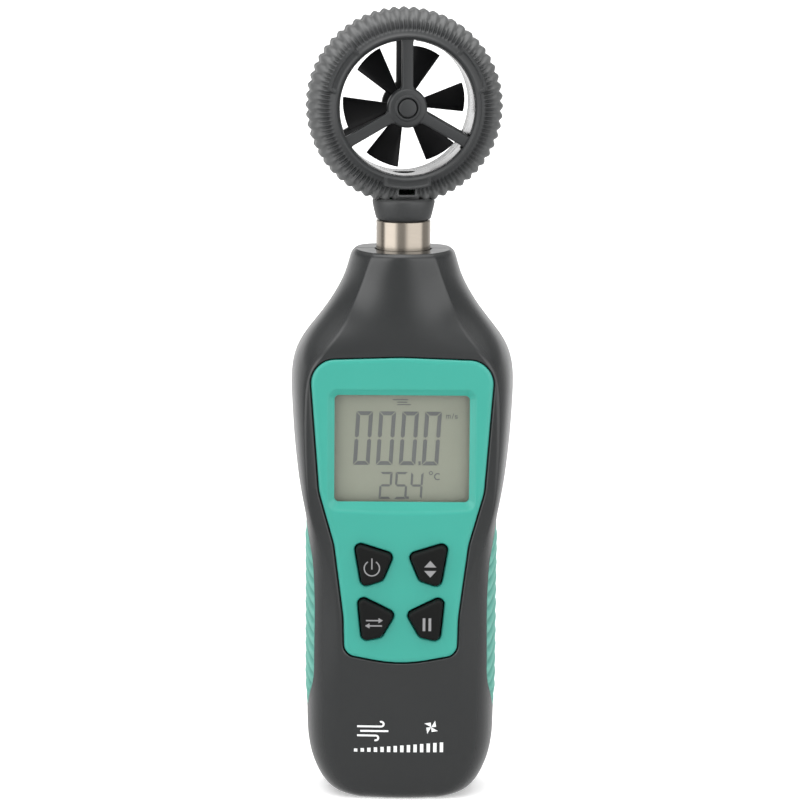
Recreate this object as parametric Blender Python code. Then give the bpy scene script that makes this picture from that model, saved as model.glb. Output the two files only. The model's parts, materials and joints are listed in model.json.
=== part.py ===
"""Hand-held vane anemometer, built as separate parts.

Frame: the origin is on the flat base, under the vane head's swivel axis. +Z runs up the handle, the
display faces -Y and +X is to the right of someone reading it. The two case shells meet on a seam just
behind the swivel axis.

Every size in this file is in millimetres. mesh_object() and pivot() turn millimetres into Blender's metres.
"""

import math

import bpy
import bmesh
from mathutils import Matrix, Vector

MM = 0.001

# Case
CASE_HEIGHT = 123.4
FACE_Y = 16.0  # the flat front face is this far ahead of the swivel axis
SEAM_Y = 1.0  # where the front and rear shells meet
SEAM_GAP = 0.3
WALL = 2.4
GAP = 0.3  # clearance between neighbouring parts
# Outline tables: (height, value) pairs, joined by a smooth curve
CASE_SIDE = ((0, 12.8), (0.8, 15.3), (2.2, 17.1), (5.7, 19.2), (11.2, 20.9), (17, 21.1), (25, 21.15),
             (62, 21.3), (66, 22.2), (73, 23.4), (84, 24.5), (95.2, 25.0), (98.8, 24.6), (102.5, 23.2),
             (106, 20.4), (109.8, 17.3), (113.4, 15.0), (117, 13.2), (120.7, 12.1), (122.3, 11.6),
             (CASE_HEIGHT, 10.4))
CASE_FRONT = ((0, 12.2), (0.8, 13.5), (2.2, 14.4), (5.7, 15.2), (11.2, 15.6), (20, 15.9), (30, FACE_Y),
              (101, FACE_Y), (104, 15.3), (108, 14.0), (113, 12.7), (118, 12.0), (122.3, 11.7),
              (CASE_HEIGHT, 10.7))
CASE_BACK = ((0, 8.0), (0.8, 9.6), (2.2, 10.9), (5.7, 12.4), (11.2, 13.6), (18, 14.2), (94, 14.2),
             (100, 13.7), (105, 12.5), (110, 11.3), (116, 10.6), (122.3, 10.3), (CASE_HEIGHT, 9.4))
# The front face ends in a crease at this distance from the middle, and beyond it the side rounds away
CREASE_X = ((0, 7.0), (2.2, 9.0), (5.7, 10.8), (14, 12.4), (30, 13.3), (38.7, 13.9), (44, 14.3),
            (48, 15.0), (52, 15.8), (55, 16.8), (58, 18.0), (62, 19.2), (66, 20.5), (73, 21.2),
            (84, 21.5), (95, 21.1), (98.6, 19.9), (101.7, 17.5), (105, 14.4), (109.5, 11.7),
            (116.5, 9.0), (CASE_HEIGHT, 6.6))
CREASE_DROP = ((0, 0.4), (30, 0.8), (44, 1.5), (56, 2.2), (64, 3.0), (73, 3.8), (95, 4.0), (104, 4.6),
               (112, 5.2), (CASE_HEIGHT, 4.6))
FRONT_CROWN = ((0, 0.8), (20, 0.3), (32, 0.0), (101, 0.0), (106, 1.0), (112, 1.9), (CASE_HEIGHT, 2.1))
BACK_FLAT_X = ((0, 5.0), (14, 14.5), (96, 14.5), (110, 6.0), (CASE_HEIGHT, 4.0))
CREASE_INSET = 1.5  # the crease and the flat back stay at least this far inside the side
SIDE_LEAN = 0.2  # the side leans in by this much towards the front face
SIDE_STEPS, FACE_STEPS = 6, 4  # segments round each side and across the front face
SECTION_HEIGHTS = (0, 0.8, 2.2, 5.7, 11.2, 18, 32, 50, 62, 66, 73, 84, 94, 100, 103, 106, 109.8, 113.4,
                   117, 120.7, 122.3, CASE_HEIGHT)
INNER_HEIGHTS = (5.7, 11.2, 18, 62, 73, 94, 103, 109.8, 118)  # enough for the surfaces that never show
WEB_Z = (112.4, 114.4)  # the web inside the neck that guides the tube
# Spans of the cutters that go through the front wall, the back wall and the top of the neck
FRONT_CUT, BACK_CUT, NECK_CUT = (-25, -5), (5, 25), (105, 130)

# Front panel, display and keys
PANEL_THICK = 1.6
PANEL_PROUD = 0.1
# Right half of the panel's outline: (x, z, corner radius)
PANEL_CORNERS = ((0, 100.7, 60), (20.6, 100.0, 5.3), (18.3, 70.5, 10), (14.9, 58.6, 12), (12.75, 42, 20),
                 (12.55, 33.7, 2.8), (0, 31.3, 60))
LCD_X, LCD_Z = 15.0, (68.2, 92.2)  # the part of the display that shows
LCD_BEVEL_SIDE, LCD_BEVEL_TOP, LCD_BEVEL_FOOT, LCD_BEVEL_DEPTH = 1.5, 1.5, 2.4, 1.2
LCD_OUTER_ROUND, LCD_INNER_ROUND = 2.2, 1.0
WINDOW_MARGIN, WINDOW_THICK = 1.0, 0.8
LCD_GLASS_X, LCD_GLASS_Z, LCD_GLASS_THICK, LCD_GLASS_GAP = 16.5, (65.5, 95.5), 2.0, 0.5
ZEBRA_Z, BACKLIGHT_Z, BACKLIGHT_THICK = (65.7, 67.6), (68.2, 95.0), 2.0
BOARD_X, BOARD_Z, BOARD_THICK = 16.0, (31.5, 104.0), 1.6
BOARD_Y = -7.6  # the board's front face
KEY_TOP_Y, KEY_FOOT_Y = -17.5, -11.5
KEY_FLANGE_Y, KEY_FLANGE_WIDTH = (-12.9, -11.9), 1.0
KEY_TRAVEL = 0.8
KEY_ROUND, KEY_EDGE = 1.1, 0.5  # corner radius, and width of the bevel round the top
KEYPAD_Y, KEYPAD_X, KEYPAD_Z = (KEY_FOOT_Y + KEY_TRAVEL + 0.1, -9.8), 12.2, (36.4, 60.4)
PILL_RADIUS, PILL_GAP = 2.4, 0.8
CHIP_HALF, CHIP_Z, CHIP_THICK = 5.0, (76.0, 86.0), 1.6
# Corners (x, z) of the two left-hand keys; the right-hand ones mirror them
UPPER_KEY = ((-10.4, 59.2), (-1.8, 56.5), (-4.2, 50.75), (-8.65, 49.25))
LOWER_KEY = ((-9.6, 47.2), (-1.35, 43.1), (-4.4, 37.85), (-8.55, 36.95))

# Side grips: corners (y, z, radius) in the side view
GRIP_CORNERS = ((-11.2, 56.5, 6), (-4.0, 62.0, 3), (7.5, 61.5, 4), (10.0, 45, 8), (8.0, 22.5, 5),
                (-2.5, 18.6, 3), (-10.4, 26.5, 7))
GRIP_INNER_X, GRIP_PROUD, GRIP_INSET, GRIP_FLOOR = 15.0, 0.25, 1.2, 1.5

# Batteries (three AAA cells side by side) and their bay
CELL_LENGTH, CELL_RADIUS, CELL_NUB = 43.7, 5.25, 0.8
CELL_PITCH, CELL_Y = 10.75, 6.75
BAY_X, BAY_Z, BAY_FLOOR_Y = 17.1, (14.6, 65.4), 1.2
BAY_WALL = 1.0
COVER_X, COVER_Z, COVER_ROUND, COVER_THICK = 18.2, (12.8, 67.2), 3.0, 1.6

# Screws
CASE_SCREWS = ((-10.8, 109.0), (10.8, 109.0), (-13.2, 8.5), (13.2, 8.5))
BOARD_SCREWS = ((-13.4, 101.4), (13.4, 101.4), (-10.5, 33.6), (10.5, 33.6))
FRONT_BOSS_RADIUS, REAR_BOSS_RADIUS, BOARD_POST_RADIUS = 2.8, 3.2, 2.1
CASE_SCREW_BORE, SEAT_RADIUS, SEAT_Y = 1.5, 2.5, 5.0
BOARD_POST_BORE, BOARD_HOLE_RADIUS = 0.95, 1.2

# Cable from the board up into the tube
CABLE_PATH = ((0, 0, 127.5), (0, 0, 118), (0, 0, 111), (0, -0.6, 107.5), (0, -2.2, 105), (0, -4.0, 102.5),
              (0, -4.6, 99.5), (0, -4.7, 96))
CABLE_RADIUS = 1.1

# Vane head, in its own frame: ring centre at the origin, air enters along +Y
RING_Z = 155.3
HEAD_TURN = math.radians(6)
RING_HALF_DEPTH = 8.0
RIB_COUNT, CREST_RADIUS, RIB_DEPTH = 60, 21.9, 0.6
BORE_RADIUS, SLEEVE_RADIUS, SLEEVE_THICK, SLEEVE_HALF = 15.2, 15.0, 0.6, 6.8
SLEEVE_SEAT_RADIUS = 15.9
HUB_RADIUS, HUB_Y, SPOKE_WIDTH, SPOKE_Y = 4.45, (5.0, 7.6), 2.5, (5.0, 7.0)
SPOKE_ANGLES = (90, 210, 330)
SPOKE_ENDS = (2.5, 16.6)  # distances from the ring's centre, inside the hub and inside the ring
COLLAR_FOOT_Z, COLLAR_FOOT_RADIUS, COLLAR_TOP_RADIUS = -25.3, 6.15, 7.0
SPIGOT_RADIUS, SPIGOT_FOOT_Z, CABLE_BORE = 5.1, -32.5, 2.4
HEAD_SCREW_RADIUS, HEAD_SCREW_BORE, HEAD_SCREW_SEAT = 18.5, 1.1, 1.95
VENT_Z, VENT_SIZE = -18.7, (3.7, 1.25)
POCKET_LOW, POCKET_HIGH = (-3.6, -4.6, -24.3), (3.6, 4.6, -14.5)
SENSOR_BOARD_LOW, SENSOR_BOARD_HIGH = (-3.0, 1.8, -23.9), (3.0, 2.8, -16.6)
PICKUP_LOW, PICKUP_HIGH = (-1.8, -1.2, -17.6), (1.8, 1.2, -15.9)
PICKUP_SLOT_X, PICKUP_SLOT_Y = 2.5, 1.6
BEARING_RADIUS, BEARING_PLAY = 1.5, 0.09

# Rotor
BLADES, BLADE_SPAN, BLADE_TIP, BLADE_THICK = 6, 30, 13.6, 0.6
BLADE_PITCH = -0.8  # rise along the axis per unit of arc
BLADE_START = 8  # degrees, the first blade's middle
# (radius, share of the full span) from the hub out: the tip's corners are cut back a little
BLADE_STATIONS = ((2.4, 1.0), (5.0, 1.0), (9.0, 1.0), (12.6, 1.0), (BLADE_TIP, 0.97))
ROTOR_HUB_RADIUS, ROTOR_HUB_HALF = 3.4, 3.6
SHAFT_RADIUS, SHAFT_HALF = 0.5, 6.4

# Neck
TUBE_RADIUS, TUBE_BORE, TUBE_Z = 6.1, 5.5, (110.5, 129.7)
CLIP_Z, CLIP_RADIUS, CLIP_THICK = 117.0, 6.9, 0.7


def clear_scene():
    for old in list(bpy.data.objects):
        bpy.data.objects.remove(old, do_unlink=True)


# ---------------------------------------------------------------- modelling helpers


def curve_at(points, z):
    """A smooth curve through (z, value) points that never overshoots between them."""
    if z <= points[0][0]:
        return points[0][1]
    if z >= points[-1][0]:
        return points[-1][1]
    last = len(points) - 1
    slopes = [(points[i + 1][1] - points[i][1]) / (points[i + 1][0] - points[i][0]) for i in range(last)]
    i = max(k for k in range(last) if points[k][0] <= z)

    def tangent(k):
        if k == 0 or k == last:
            return slopes[min(k, last - 1)]
        before, after = slopes[k - 1], slopes[k]
        return 0.0 if before * after <= 0 else 2 * before * after / (before + after)

    width = points[i + 1][0] - points[i][0]
    t = (z - points[i][0]) / width
    start, end = points[i][1], points[i + 1][1]
    return (
        start * (2 * t**3 - 3 * t**2 + 1)
        + tangent(i) * width * (t**3 - 2 * t**2 + t)
        + end * (3 * t**2 - 2 * t**3)
        + tangent(i + 1) * width * (t**3 - t**2)
    )


def is_flat(face):
    """Booleans need flat faces, so the others are split into triangles."""
    start = face.verts[0].co
    return all(abs((corner.co - start).dot(face.normal)) < 0.0001 * MM for corner in face.verts)


def mesh_object(name, points, faces, parent=None):
    """An object from points in millimetres, with its faces turned outwards."""
    shape = bmesh.new()
    corners = [shape.verts.new(Vector(point) * MM) for point in points]
    for face in faces:
        shape.faces.new([corners[index] for index in face])
    bmesh.ops.recalc_face_normals(shape, faces=shape.faces)
    bent = [face for face in shape.faces if not is_flat(face)]
    bmesh.ops.triangulate(shape, faces=bent)
    mesh = bpy.data.meshes.new(name)
    shape.to_mesh(mesh)
    shape.free()
    made = bpy.data.objects.new(name, mesh)
    bpy.context.scene.collection.objects.link(made)
    made.parent = parent
    return made


def pivot(name, place, turn=0.0, parent=None):
    """An empty that parts hang on: a joint's axis or a group's frame."""
    made = bpy.data.objects.new(name, None)
    made.empty_display_size = 5 * MM
    made.location = Vector(place) * MM
    made.rotation_euler = (0, 0, turn)
    made.parent = parent
    bpy.context.scene.collection.objects.link(made)
    return made


def box(name, low, high, parent=None):
    points = [(x, y, z) for x in (low[0], high[0]) for y in (low[1], high[1]) for z in (low[2], high[2])]
    faces = ((0, 1, 3, 2), (4, 6, 7, 5), (0, 4, 5, 1), (2, 3, 7, 6), (0, 2, 6, 4), (1, 5, 7, 3))
    return mesh_object(name, points, faces, parent)


def loft(name, rings, parent=None):
    """A closed solid through rings of equally many points."""
    count = len(rings[0])
    points = [point for ring in rings for point in ring]
    faces = []
    for row in range(len(rings) - 1):
        near, far = row * count, (row + 1) * count
        for i in range(count):
            j = (i + 1) % count
            faces.append((near + i, near + j, far + j, far + i))
    faces.append(tuple(range(count)))
    faces.append(tuple(range((len(rings) - 1) * count, len(rings) * count)))
    return mesh_object(name, points, faces, parent)


def prism(name, outline, y_range, parent=None):
    """An (x, z) outline carried along Y."""
    return loft(name, [[(x, y, z) for x, z in outline] for y in y_range], parent)


def turned(name, profile, axis, centre=(0, 0, 0), steps=16, parent=None, hollow=False):
    """A profile of (radius, distance along the axis) pairs turned about "Y" or "Z" through centre.

    A hollow profile closes on itself, and a solid one runs from one end of the axis to the other.
    """
    points, rows = [], []
    for radius, along in profile:
        row = []
        for i in range(steps if radius > 0 else 1):
            angle = 2 * math.pi * (i + 0.5) / steps
            a, b = radius * math.cos(angle), radius * math.sin(angle)
            spot = (a, along, b) if axis == "Y" else (a, b, along)
            row.append(len(points))
            points.append(tuple(spot[k] + centre[k] for k in range(3)))
        rows.append(row)
    pairs = list(zip(rows, rows[1:] + rows[:1])) if hollow else list(zip(rows, rows[1:]))
    faces = []
    for first, second in pairs:
        around, back = len(first), len(second)
        for i in range(steps):
            j = (i + 1) % steps
            quad = (first[i % around], first[j % around], second[j % back], second[i % back])
            faces.append(tuple(dict.fromkeys(quad)))
    for row in () if hollow else (rows[0], rows[-1]):
        if len(row) > 1:
            faces.append(tuple(row))
    return mesh_object(name, points, faces, parent)


def rod(name, radius, span, axis, centre=(0, 0, 0), steps=16, parent=None):
    return turned(name, ((radius, span[0]), (radius, span[1])), axis, centre, steps, parent)


def pipe(name, outer, inner, span, axis, centre=(0, 0, 0), steps=16, parent=None):
    profile = ((outer, span[0]), (outer, span[1]), (inner, span[1]), (inner, span[0]))
    return turned(name, profile, axis, centre, steps, parent, hollow=True)


def wire(name, path, radius, sides=6, parent=None):
    """A round wire along a path of points."""
    spots = [Vector(point) for point in path]
    rings = []
    side = None
    for i, spot in enumerate(spots):
        ahead = (spots[min(i + 1, len(spots) - 1)] - spots[max(i - 1, 0)]).normalized()
        if side is None:
            side = ahead.orthogonal().normalized()
        side = (side - ahead * side.dot(ahead)).normalized()
        up = ahead.cross(side)
        angles = [2 * math.pi * k / sides for k in range(sides)]
        rings.append([tuple(spot + radius * (side * math.cos(a) + up * math.sin(a))) for a in angles])
    return loft(name, rings, parent)


def rounded_outline(corners, arc_step=20):
    """A closed outline of (x, z, radius) corners, each replaced by an arc."""
    outline = []
    for i, (x, z, radius) in enumerate(corners):
        here = Vector((x, z))
        before = Vector(corners[i - 1][:2]) - here
        after = Vector(corners[(i + 1) % len(corners)][:2]) - here
        half = before.angle(after) / 2
        reach = min(radius / math.tan(half), 0.48 * before.length, 0.48 * after.length)
        middle = here + (before.normalized() + after.normalized()).normalized() * reach / math.cos(half)
        start = here + before.normalized() * reach - middle
        sweep = start.angle_signed(here + after.normalized() * reach - middle)
        steps = max(2, round(abs(math.degrees(sweep)) / arc_step))
        for k in range(steps + 1):
            angle = -sweep * k / steps
            turned_start = (
                start.x * math.cos(angle) - start.y * math.sin(angle),
                start.x * math.sin(angle) + start.y * math.cos(angle),
            )
            outline.append((middle.x + turned_start[0], middle.y + turned_start[1]))
    return outline


def grown(outline, by):
    """The outline moved outwards by a distance."""
    area = sum(a[0] * b[1] - b[0] * a[1] for a, b in zip(outline, outline[1:] + outline[:1]))
    outwards = 1 if area > 0 else -1
    moved = []
    for i, point in enumerate(outline):
        before, after = outline[i - 1], outline[(i + 1) % len(outline)]
        first = Vector((point[0] - before[0], point[1] - before[1])).normalized()
        second = Vector((after[0] - point[0], after[1] - point[1])).normalized()
        along = (first + second).normalized()
        stretch = by / max(0.5, along.dot(first))
        moved.append((point[0] + outwards * along.y * stretch, point[1] - outwards * along.x * stretch))
    return moved


def mirrored(corners):
    """A right-hand half outline, from its top middle to its foot middle, made whole."""
    left = [(-corner[0],) + tuple(corner[1:]) for corner in reversed(corners) if corner[0] > 0]
    return list(corners) + left


def combine(target, tool, how="DIFFERENCE"):
    """Cuts, joins or intersects target with tool, which is then only a hidden guide."""
    step = target.modifiers.new(f"{how.lower()} {tool.name}", "BOOLEAN")
    step.operation = how
    step.solver = "EXACT"
    step.object = tool
    tool.hide_render = True
    tool.display_type = "WIRE"
    tool.hide_set(True)
    return target


def material(name, colour, roughness, metallic=0.0):
    made = bpy.data.materials.new(name)
    made.use_nodes = True
    surface = made.node_tree.nodes["Principled BSDF"]
    surface.inputs["Base Color"].default_value = (*colour, 1)
    surface.inputs["Roughness"].default_value = roughness
    surface.inputs["Metallic"].default_value = metallic
    return made


def finish(part, look):
    """Gives a part its material and smooth shading on its round faces."""
    part.data.materials.clear()
    part.data.materials.append(look)
    part.data.shade_smooth()
    part.data.set_sharp_from_angle(angle=math.radians(35))
    return part


# ---------------------------------------------------------------- case


def arc_between(start, corner, end, steps):
    """Points from start towards end round a soft corner, without the last one."""
    spots = []
    for k in range(steps):
        u = k / steps
        weights = ((1 - u) ** 2, 2 * u * (1 - u), u**2)
        spots.append(tuple(sum(w * p for w, p in zip(weights, three)) for three in zip(start, corner, end)))
    return spots


def case_section(z, inset):
    """The case's outline at height z, moved in by inset, from the +X seam round the front and the back."""
    half = curve_at(CASE_SIDE, z) - inset
    front = curve_at(CASE_FRONT, z) - inset
    back = curve_at(CASE_BACK, z) - inset
    crown = curve_at(FRONT_CROWN, z)
    crease = min(curve_at(CREASE_X, z), half - CREASE_INSET)
    flat = min(curve_at(BACK_FLAT_X, z), half - CREASE_INSET)
    corner_y = crown + curve_at(CREASE_DROP, z) - front
    right = arc_between((half, SEAM_Y), (half - SIDE_LEAN, corner_y), (crease, crown - front), SIDE_STEPS)
    face = []
    for k in range(FACE_STEPS + 1):
        share = 1 - 2 * k / FACE_STEPS
        face.append((crease * share, crown * share**2 - front))
    left = [(-x, y) for x, y in right[::-1]]
    behind = arc_between((-half, SEAM_Y), (-half, back), (-flat, back), SIDE_STEPS)[1:] + [(-flat, back)]
    behind += [(-x, y) for x, y in behind[::-1]]
    return [(x, y, z) for x, y in right + face + left + behind]


def case_blank(name, inset, low=0.0, high=CASE_HEIGHT, levels=SECTION_HEIGHTS):
    """A solid of the case's outer shape moved in by inset, between two heights."""
    heights = [low] + [z for z in levels if low + 0.4 < z < high - 0.4] + [high]
    return loft(name, [case_section(z, inset) for z in heights])


def half_space(name, keep_front):
    far = 60
    y_range = (-far, SEAM_Y - SEAM_GAP / 2) if keep_front else (SEAM_Y + SEAM_GAP / 2, far)
    return box(name, (-far, y_range[0], -far), (far, y_range[1], 4 * far))


def key_outline(corners, mirror):
    sign = -1 if mirror else 1
    return rounded_outline([(sign * x, z, KEY_ROUND) for x, z in corners], arc_step=40)


KEYS = {
    "key_power": (UPPER_KEY, False),
    "key_peak": (UPPER_KEY, True),
    "key_unit": (LOWER_KEY, False),
    "key_hold": (LOWER_KEY, True),
}


def rectangle(half_x, z_range, radius):
    low, high = z_range
    corners = ((-half_x, high), (half_x, high), (half_x, low), (-half_x, low))
    return rounded_outline([(x, z, radius) for x, z in corners], 45)


def display_opening(name):
    """The opening in the panel, wider at the front, so that its edges slope in to the display."""
    outer_z = (LCD_Z[0] - LCD_BEVEL_FOOT, LCD_Z[1] + LCD_BEVEL_TOP)
    outer = rectangle(LCD_X + LCD_BEVEL_SIDE, outer_z, LCD_OUTER_ROUND)
    inner = rectangle(LCD_X, LCD_Z, LCD_INNER_ROUND)
    front = -FACE_Y - PANEL_PROUD
    steps = ((outer, front - 2), (outer, front), (inner, front + LCD_BEVEL_DEPTH), (inner, front + 4))
    return loft(name, [[(x, y, z) for x, z in outline] for outline, y in steps])


def grip_outline():
    """The grips' outline in the side view, as (y, z): pointed at the top and foot."""
    return rounded_outline(GRIP_CORNERS, 30)


def grip_block(name, side, grow):
    """A block through the side of the case with the grips' outline."""
    outline = grown(grip_outline(), grow)
    spans = (GRIP_INNER_X * side, 2 * GRIP_INNER_X * side)
    return loft(name, [[(x, y, z) for y, z in outline] for x in spans])


def bosses(name, places, radius, y_range, trim):
    """Posts along Y, trimmed to the case's shape, which carry screws."""
    posts = []
    for i, (x, z) in enumerate(places):
        posts.append(combine(rod(f"{name}_{i}", radius, y_range, "Y", (x, 0, z), 12), trim, "INTERSECT"))
    return posts


def build_front_shell(looks):
    shell = case_blank("front_shell", 0)
    combine(shell, half_space("front_half", True), "INTERSECT")
    combine(shell, case_blank("front_hollow", WALL, WALL, WEB_Z[0], INNER_HEIGHTS))
    combine(shell, case_blank("front_neck_hollow", WALL, WEB_Z[1], CASE_HEIGHT - WALL, INNER_HEIGHTS))
    trim = case_blank("front_trim", WALL / 2, levels=INNER_HEIGHTS)
    for post in bosses("front_boss", CASE_SCREWS, FRONT_BOSS_RADIUS, (-20, SEAM_Y - SEAM_GAP / 2), trim):
        combine(shell, post, "UNION")
    for post in bosses("board_post", BOARD_SCREWS, BOARD_POST_RADIUS, (-20, BOARD_Y - GAP), trim):
        combine(shell, post, "UNION")
    for i, (x, z) in enumerate(CASE_SCREWS):
        combine(shell, rod(f"front_boss_bore_{i}", CASE_SCREW_BORE, (-9.0, 5), "Y", (x, 0, z), 12))
    for i, (x, z) in enumerate(BOARD_SCREWS):
        combine(shell, rod(f"board_post_bore_{i}", BOARD_POST_BORE, (-12.0, 0), "Y", (x, 0, z), 10))
    recess = prism("panel_recess", grown(rounded_outline(mirrored(PANEL_CORNERS)), GAP), FRONT_CUT)
    combine(recess, case_blank("panel_floor", PANEL_THICK - PANEL_PROUD + GAP))
    combine(shell, recess)
    margin = WINDOW_MARGIN + GAP
    display = rectangle(LCD_X + margin, (LCD_Z[0] - margin, LCD_Z[1] + margin), LCD_INNER_ROUND)
    combine(shell, prism("display_hole", display, FRONT_CUT))
    for name, (corners, mirror) in KEYS.items():
        combine(shell, prism(f"{name}_shell_hole", grown(key_outline(corners, mirror), GAP), FRONT_CUT))
    combine(shell, rod("front_neck_bore", TUBE_RADIUS + GAP, NECK_CUT, "Z", steps=24))
    for side in (-1, 1):
        recess = grip_block(f"front_grip_recess_{side}", side, GAP)
        combine(recess, case_blank(f"front_grip_floor_{side}", GRIP_FLOOR))
        combine(shell, recess)
    return finish(shell, looks["case"])


def build_rear_shell(looks):
    shell = case_blank("rear_shell", 0)
    combine(shell, half_space("rear_half", False), "INTERSECT")
    combine(shell, case_blank("rear_hollow", WALL, WALL, WEB_Z[0], INNER_HEIGHTS))
    combine(shell, case_blank("rear_neck_hollow", WALL, WEB_Z[1], CASE_HEIGHT - WALL, INNER_HEIGHTS))
    trim = case_blank("rear_trim", WALL / 2, levels=INNER_HEIGHTS)
    for post in bosses("rear_boss", CASE_SCREWS, REAR_BOSS_RADIUS, (SEAM_Y + SEAM_GAP / 2, 20), trim):
        combine(shell, post, "UNION")
    bay = box("bay_block", (-BAY_X - BAY_WALL, BAY_FLOOR_Y - BAY_WALL, BAY_Z[0] - BAY_WALL),
              (BAY_X + BAY_WALL, 20, BAY_Z[1] + BAY_WALL))
    combine(bay, trim, "INTERSECT")
    combine(shell, bay, "UNION")
    for i, (x, z) in enumerate(CASE_SCREWS):
        combine(shell, rod(f"rear_boss_bore_{i}", CASE_SCREW_BORE, (-5, 20), "Y", (x, 0, z), 12))
        combine(shell, rod(f"rear_counterbore_{i}", SEAT_RADIUS, (SEAT_Y, 20), "Y", (x, 0, z), 14))
    recess = prism("cover_recess", grown(rectangle(COVER_X, COVER_Z, COVER_ROUND), GAP), BACK_CUT)
    combine(recess, case_blank("cover_floor", COVER_THICK + GAP))
    combine(shell, recess)
    combine(shell, prism("bay_hollow", rectangle(BAY_X, BAY_Z, 0.8), (BAY_FLOOR_Y, 25)))
    combine(shell, rod("rear_neck_bore", TUBE_RADIUS + GAP, NECK_CUT, "Z", steps=24))
    for side in (-1, 1):
        recess = grip_block(f"rear_grip_recess_{side}", side, GAP)
        combine(recess, case_blank(f"rear_grip_floor_{side}", GRIP_FLOOR))
        combine(shell, recess)
    return finish(shell, looks["case"])


def build_panel(looks):
    panel = prism("front_panel", rounded_outline(mirrored(PANEL_CORNERS)), FRONT_CUT)
    combine(panel, case_blank("panel_face", -PANEL_PROUD), "INTERSECT")
    combine(panel, case_blank("panel_back", PANEL_THICK - PANEL_PROUD))
    combine(panel, display_opening("display_opening"))
    for name, (corners, mirror) in KEYS.items():
        combine(panel, prism(f"{name}_panel_hole", grown(key_outline(corners, mirror), GAP), FRONT_CUT))
    return finish(panel, looks["panel"])


def build_grips(looks):
    for name, side in (("grip_left", -1), ("grip_right", 1)):
        grip = grip_block(name, side, 0)
        combine(grip, case_blank(f"{name}_face", -GRIP_PROUD), "INTERSECT")
        combine(grip, case_blank(f"{name}_back", GRIP_INSET))
        finish(grip, looks["grip"])


def build_battery_cover(looks):
    guide = pivot("battery_cover_lift", (0, 0, 0))
    cover = prism("battery_cover", rectangle(COVER_X, COVER_Z, COVER_ROUND), BACK_CUT, guide)
    combine(cover, case_blank("cover_face", 0), "INTERSECT")
    combine(cover, case_blank("cover_back", COVER_THICK))
    return finish(cover, looks["case"])


def build_keys(looks):
    for name, (corners, mirror) in KEYS.items():
        outline = key_outline(corners, mirror)
        middle = (sum(x for x, z in outline) / len(outline), sum(z for x, z in outline) / len(outline))
        centred = [(x - middle[0], z - middle[1]) for x, z in outline]
        guide = pivot(f"{name}_press", (middle[0], KEY_FOOT_Y, middle[1]))
        flange = grown(centred, KEY_FLANGE_WIDTH)
        steps = (
            (grown(centred, -KEY_EDGE), KEY_TOP_Y),
            (centred, KEY_TOP_Y + KEY_EDGE),
            (centred, KEY_FLANGE_Y[0]),
            (flange, KEY_FLANGE_Y[0]),
            (flange, KEY_FLANGE_Y[1]),
            (centred, KEY_FLANGE_Y[1]),
            (centred, KEY_FOOT_Y),
        )
        rings = [[(x, y - KEY_FOOT_Y, z) for x, z in ring] for ring, y in steps]
        finish(loft(name, rings, guide), looks["key"])


# ---------------------------------------------------------------- inside the case


def build_display(looks):
    margin = WINDOW_MARGIN
    front = -FACE_Y + PANEL_THICK + GAP
    outline = rectangle(LCD_X + margin, (LCD_Z[0] - margin, LCD_Z[1] + margin), 1.0)
    finish(prism("lcd_window", outline, (front, front + WINDOW_THICK)), looks["window"])
    glass_y = front + WINDOW_THICK + LCD_GLASS_GAP
    low = (-LCD_GLASS_X, glass_y, LCD_GLASS_Z[0])
    high = (LCD_GLASS_X, glass_y + LCD_GLASS_THICK, LCD_GLASS_Z[1])
    finish(box("lcd_glass", low, high), looks["glass"])
    light_y = high[1] + GAP
    half = LCD_GLASS_X - 0.5
    low = (-half, light_y, BACKLIGHT_Z[0])
    high = (half, light_y + BACKLIGHT_THICK, BACKLIGHT_Z[1])
    finish(box("lcd_backlight", low, high), looks["diffuser"])
    strip = box("zebra_connector", (-half, light_y, ZEBRA_Z[0]), (half, BOARD_Y - GAP, ZEBRA_Z[1]))
    finish(strip, looks["black_rubber"])


def build_board(looks):
    board = box("main_board", (-BOARD_X, BOARD_Y, BOARD_Z[0]), (BOARD_X, BOARD_Y + BOARD_THICK, BOARD_Z[1]))
    back = BOARD_Y + BOARD_THICK + GAP
    profile = ((0, -11.5), (0.7, -10.9), (0.7, back), (1.9, back), (1.9, back + 0.8), (1.3, back + 1.3),
               (0, back + 1.3))
    for i, (x, z) in enumerate(BOARD_SCREWS):
        combine(board, rod(f"board_hole_{i}", BOARD_HOLE_RADIUS, (-12, 0), "Y", (x, 0, z), 10))
        finish(turned(f"board_screw_{i + 1}", profile, "Y", (x, 0, z), 10), looks["steel"])
    finish(board, looks["board"])
    chip = box("mcu_chip", (-CHIP_HALF, back, CHIP_Z[0]), (CHIP_HALF, back + CHIP_THICK, CHIP_Z[1]))
    finish(chip, looks["black_plastic"])
    low, high = (-KEYPAD_X, KEYPAD_Y[0], KEYPAD_Z[0]), (KEYPAD_X, KEYPAD_Y[1], KEYPAD_Z[1])
    mat = box("keypad_membrane", low, high)
    pill_y = (KEYPAD_Y[0] + 0.4, BOARD_Y - PILL_GAP)
    for name, (corners, mirror) in KEYS.items():
        x = sum(corner[0] for corner in corners) / 4 * (-1 if mirror else 1)
        z = sum(corner[1] for corner in corners) / 4
        combine(mat, rod(f"{name}_pill", PILL_RADIUS, pill_y, "Y", (x, 0, z), 12), "UNION")
    finish(mat, looks["black_rubber"])


def cell_profile(low, up):
    """An AAA cell from its flat end at low, standing up or upside down."""
    sign = 1 if up else -1
    body = CELL_LENGTH
    steps = ((4.6, 0), (CELL_RADIUS, 0.5), (CELL_RADIUS, body - 0.5), (4.4, body), (1.9, body),
             (1.9, body + CELL_NUB))
    return [(radius, low + sign * along) for radius, along in steps]


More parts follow.
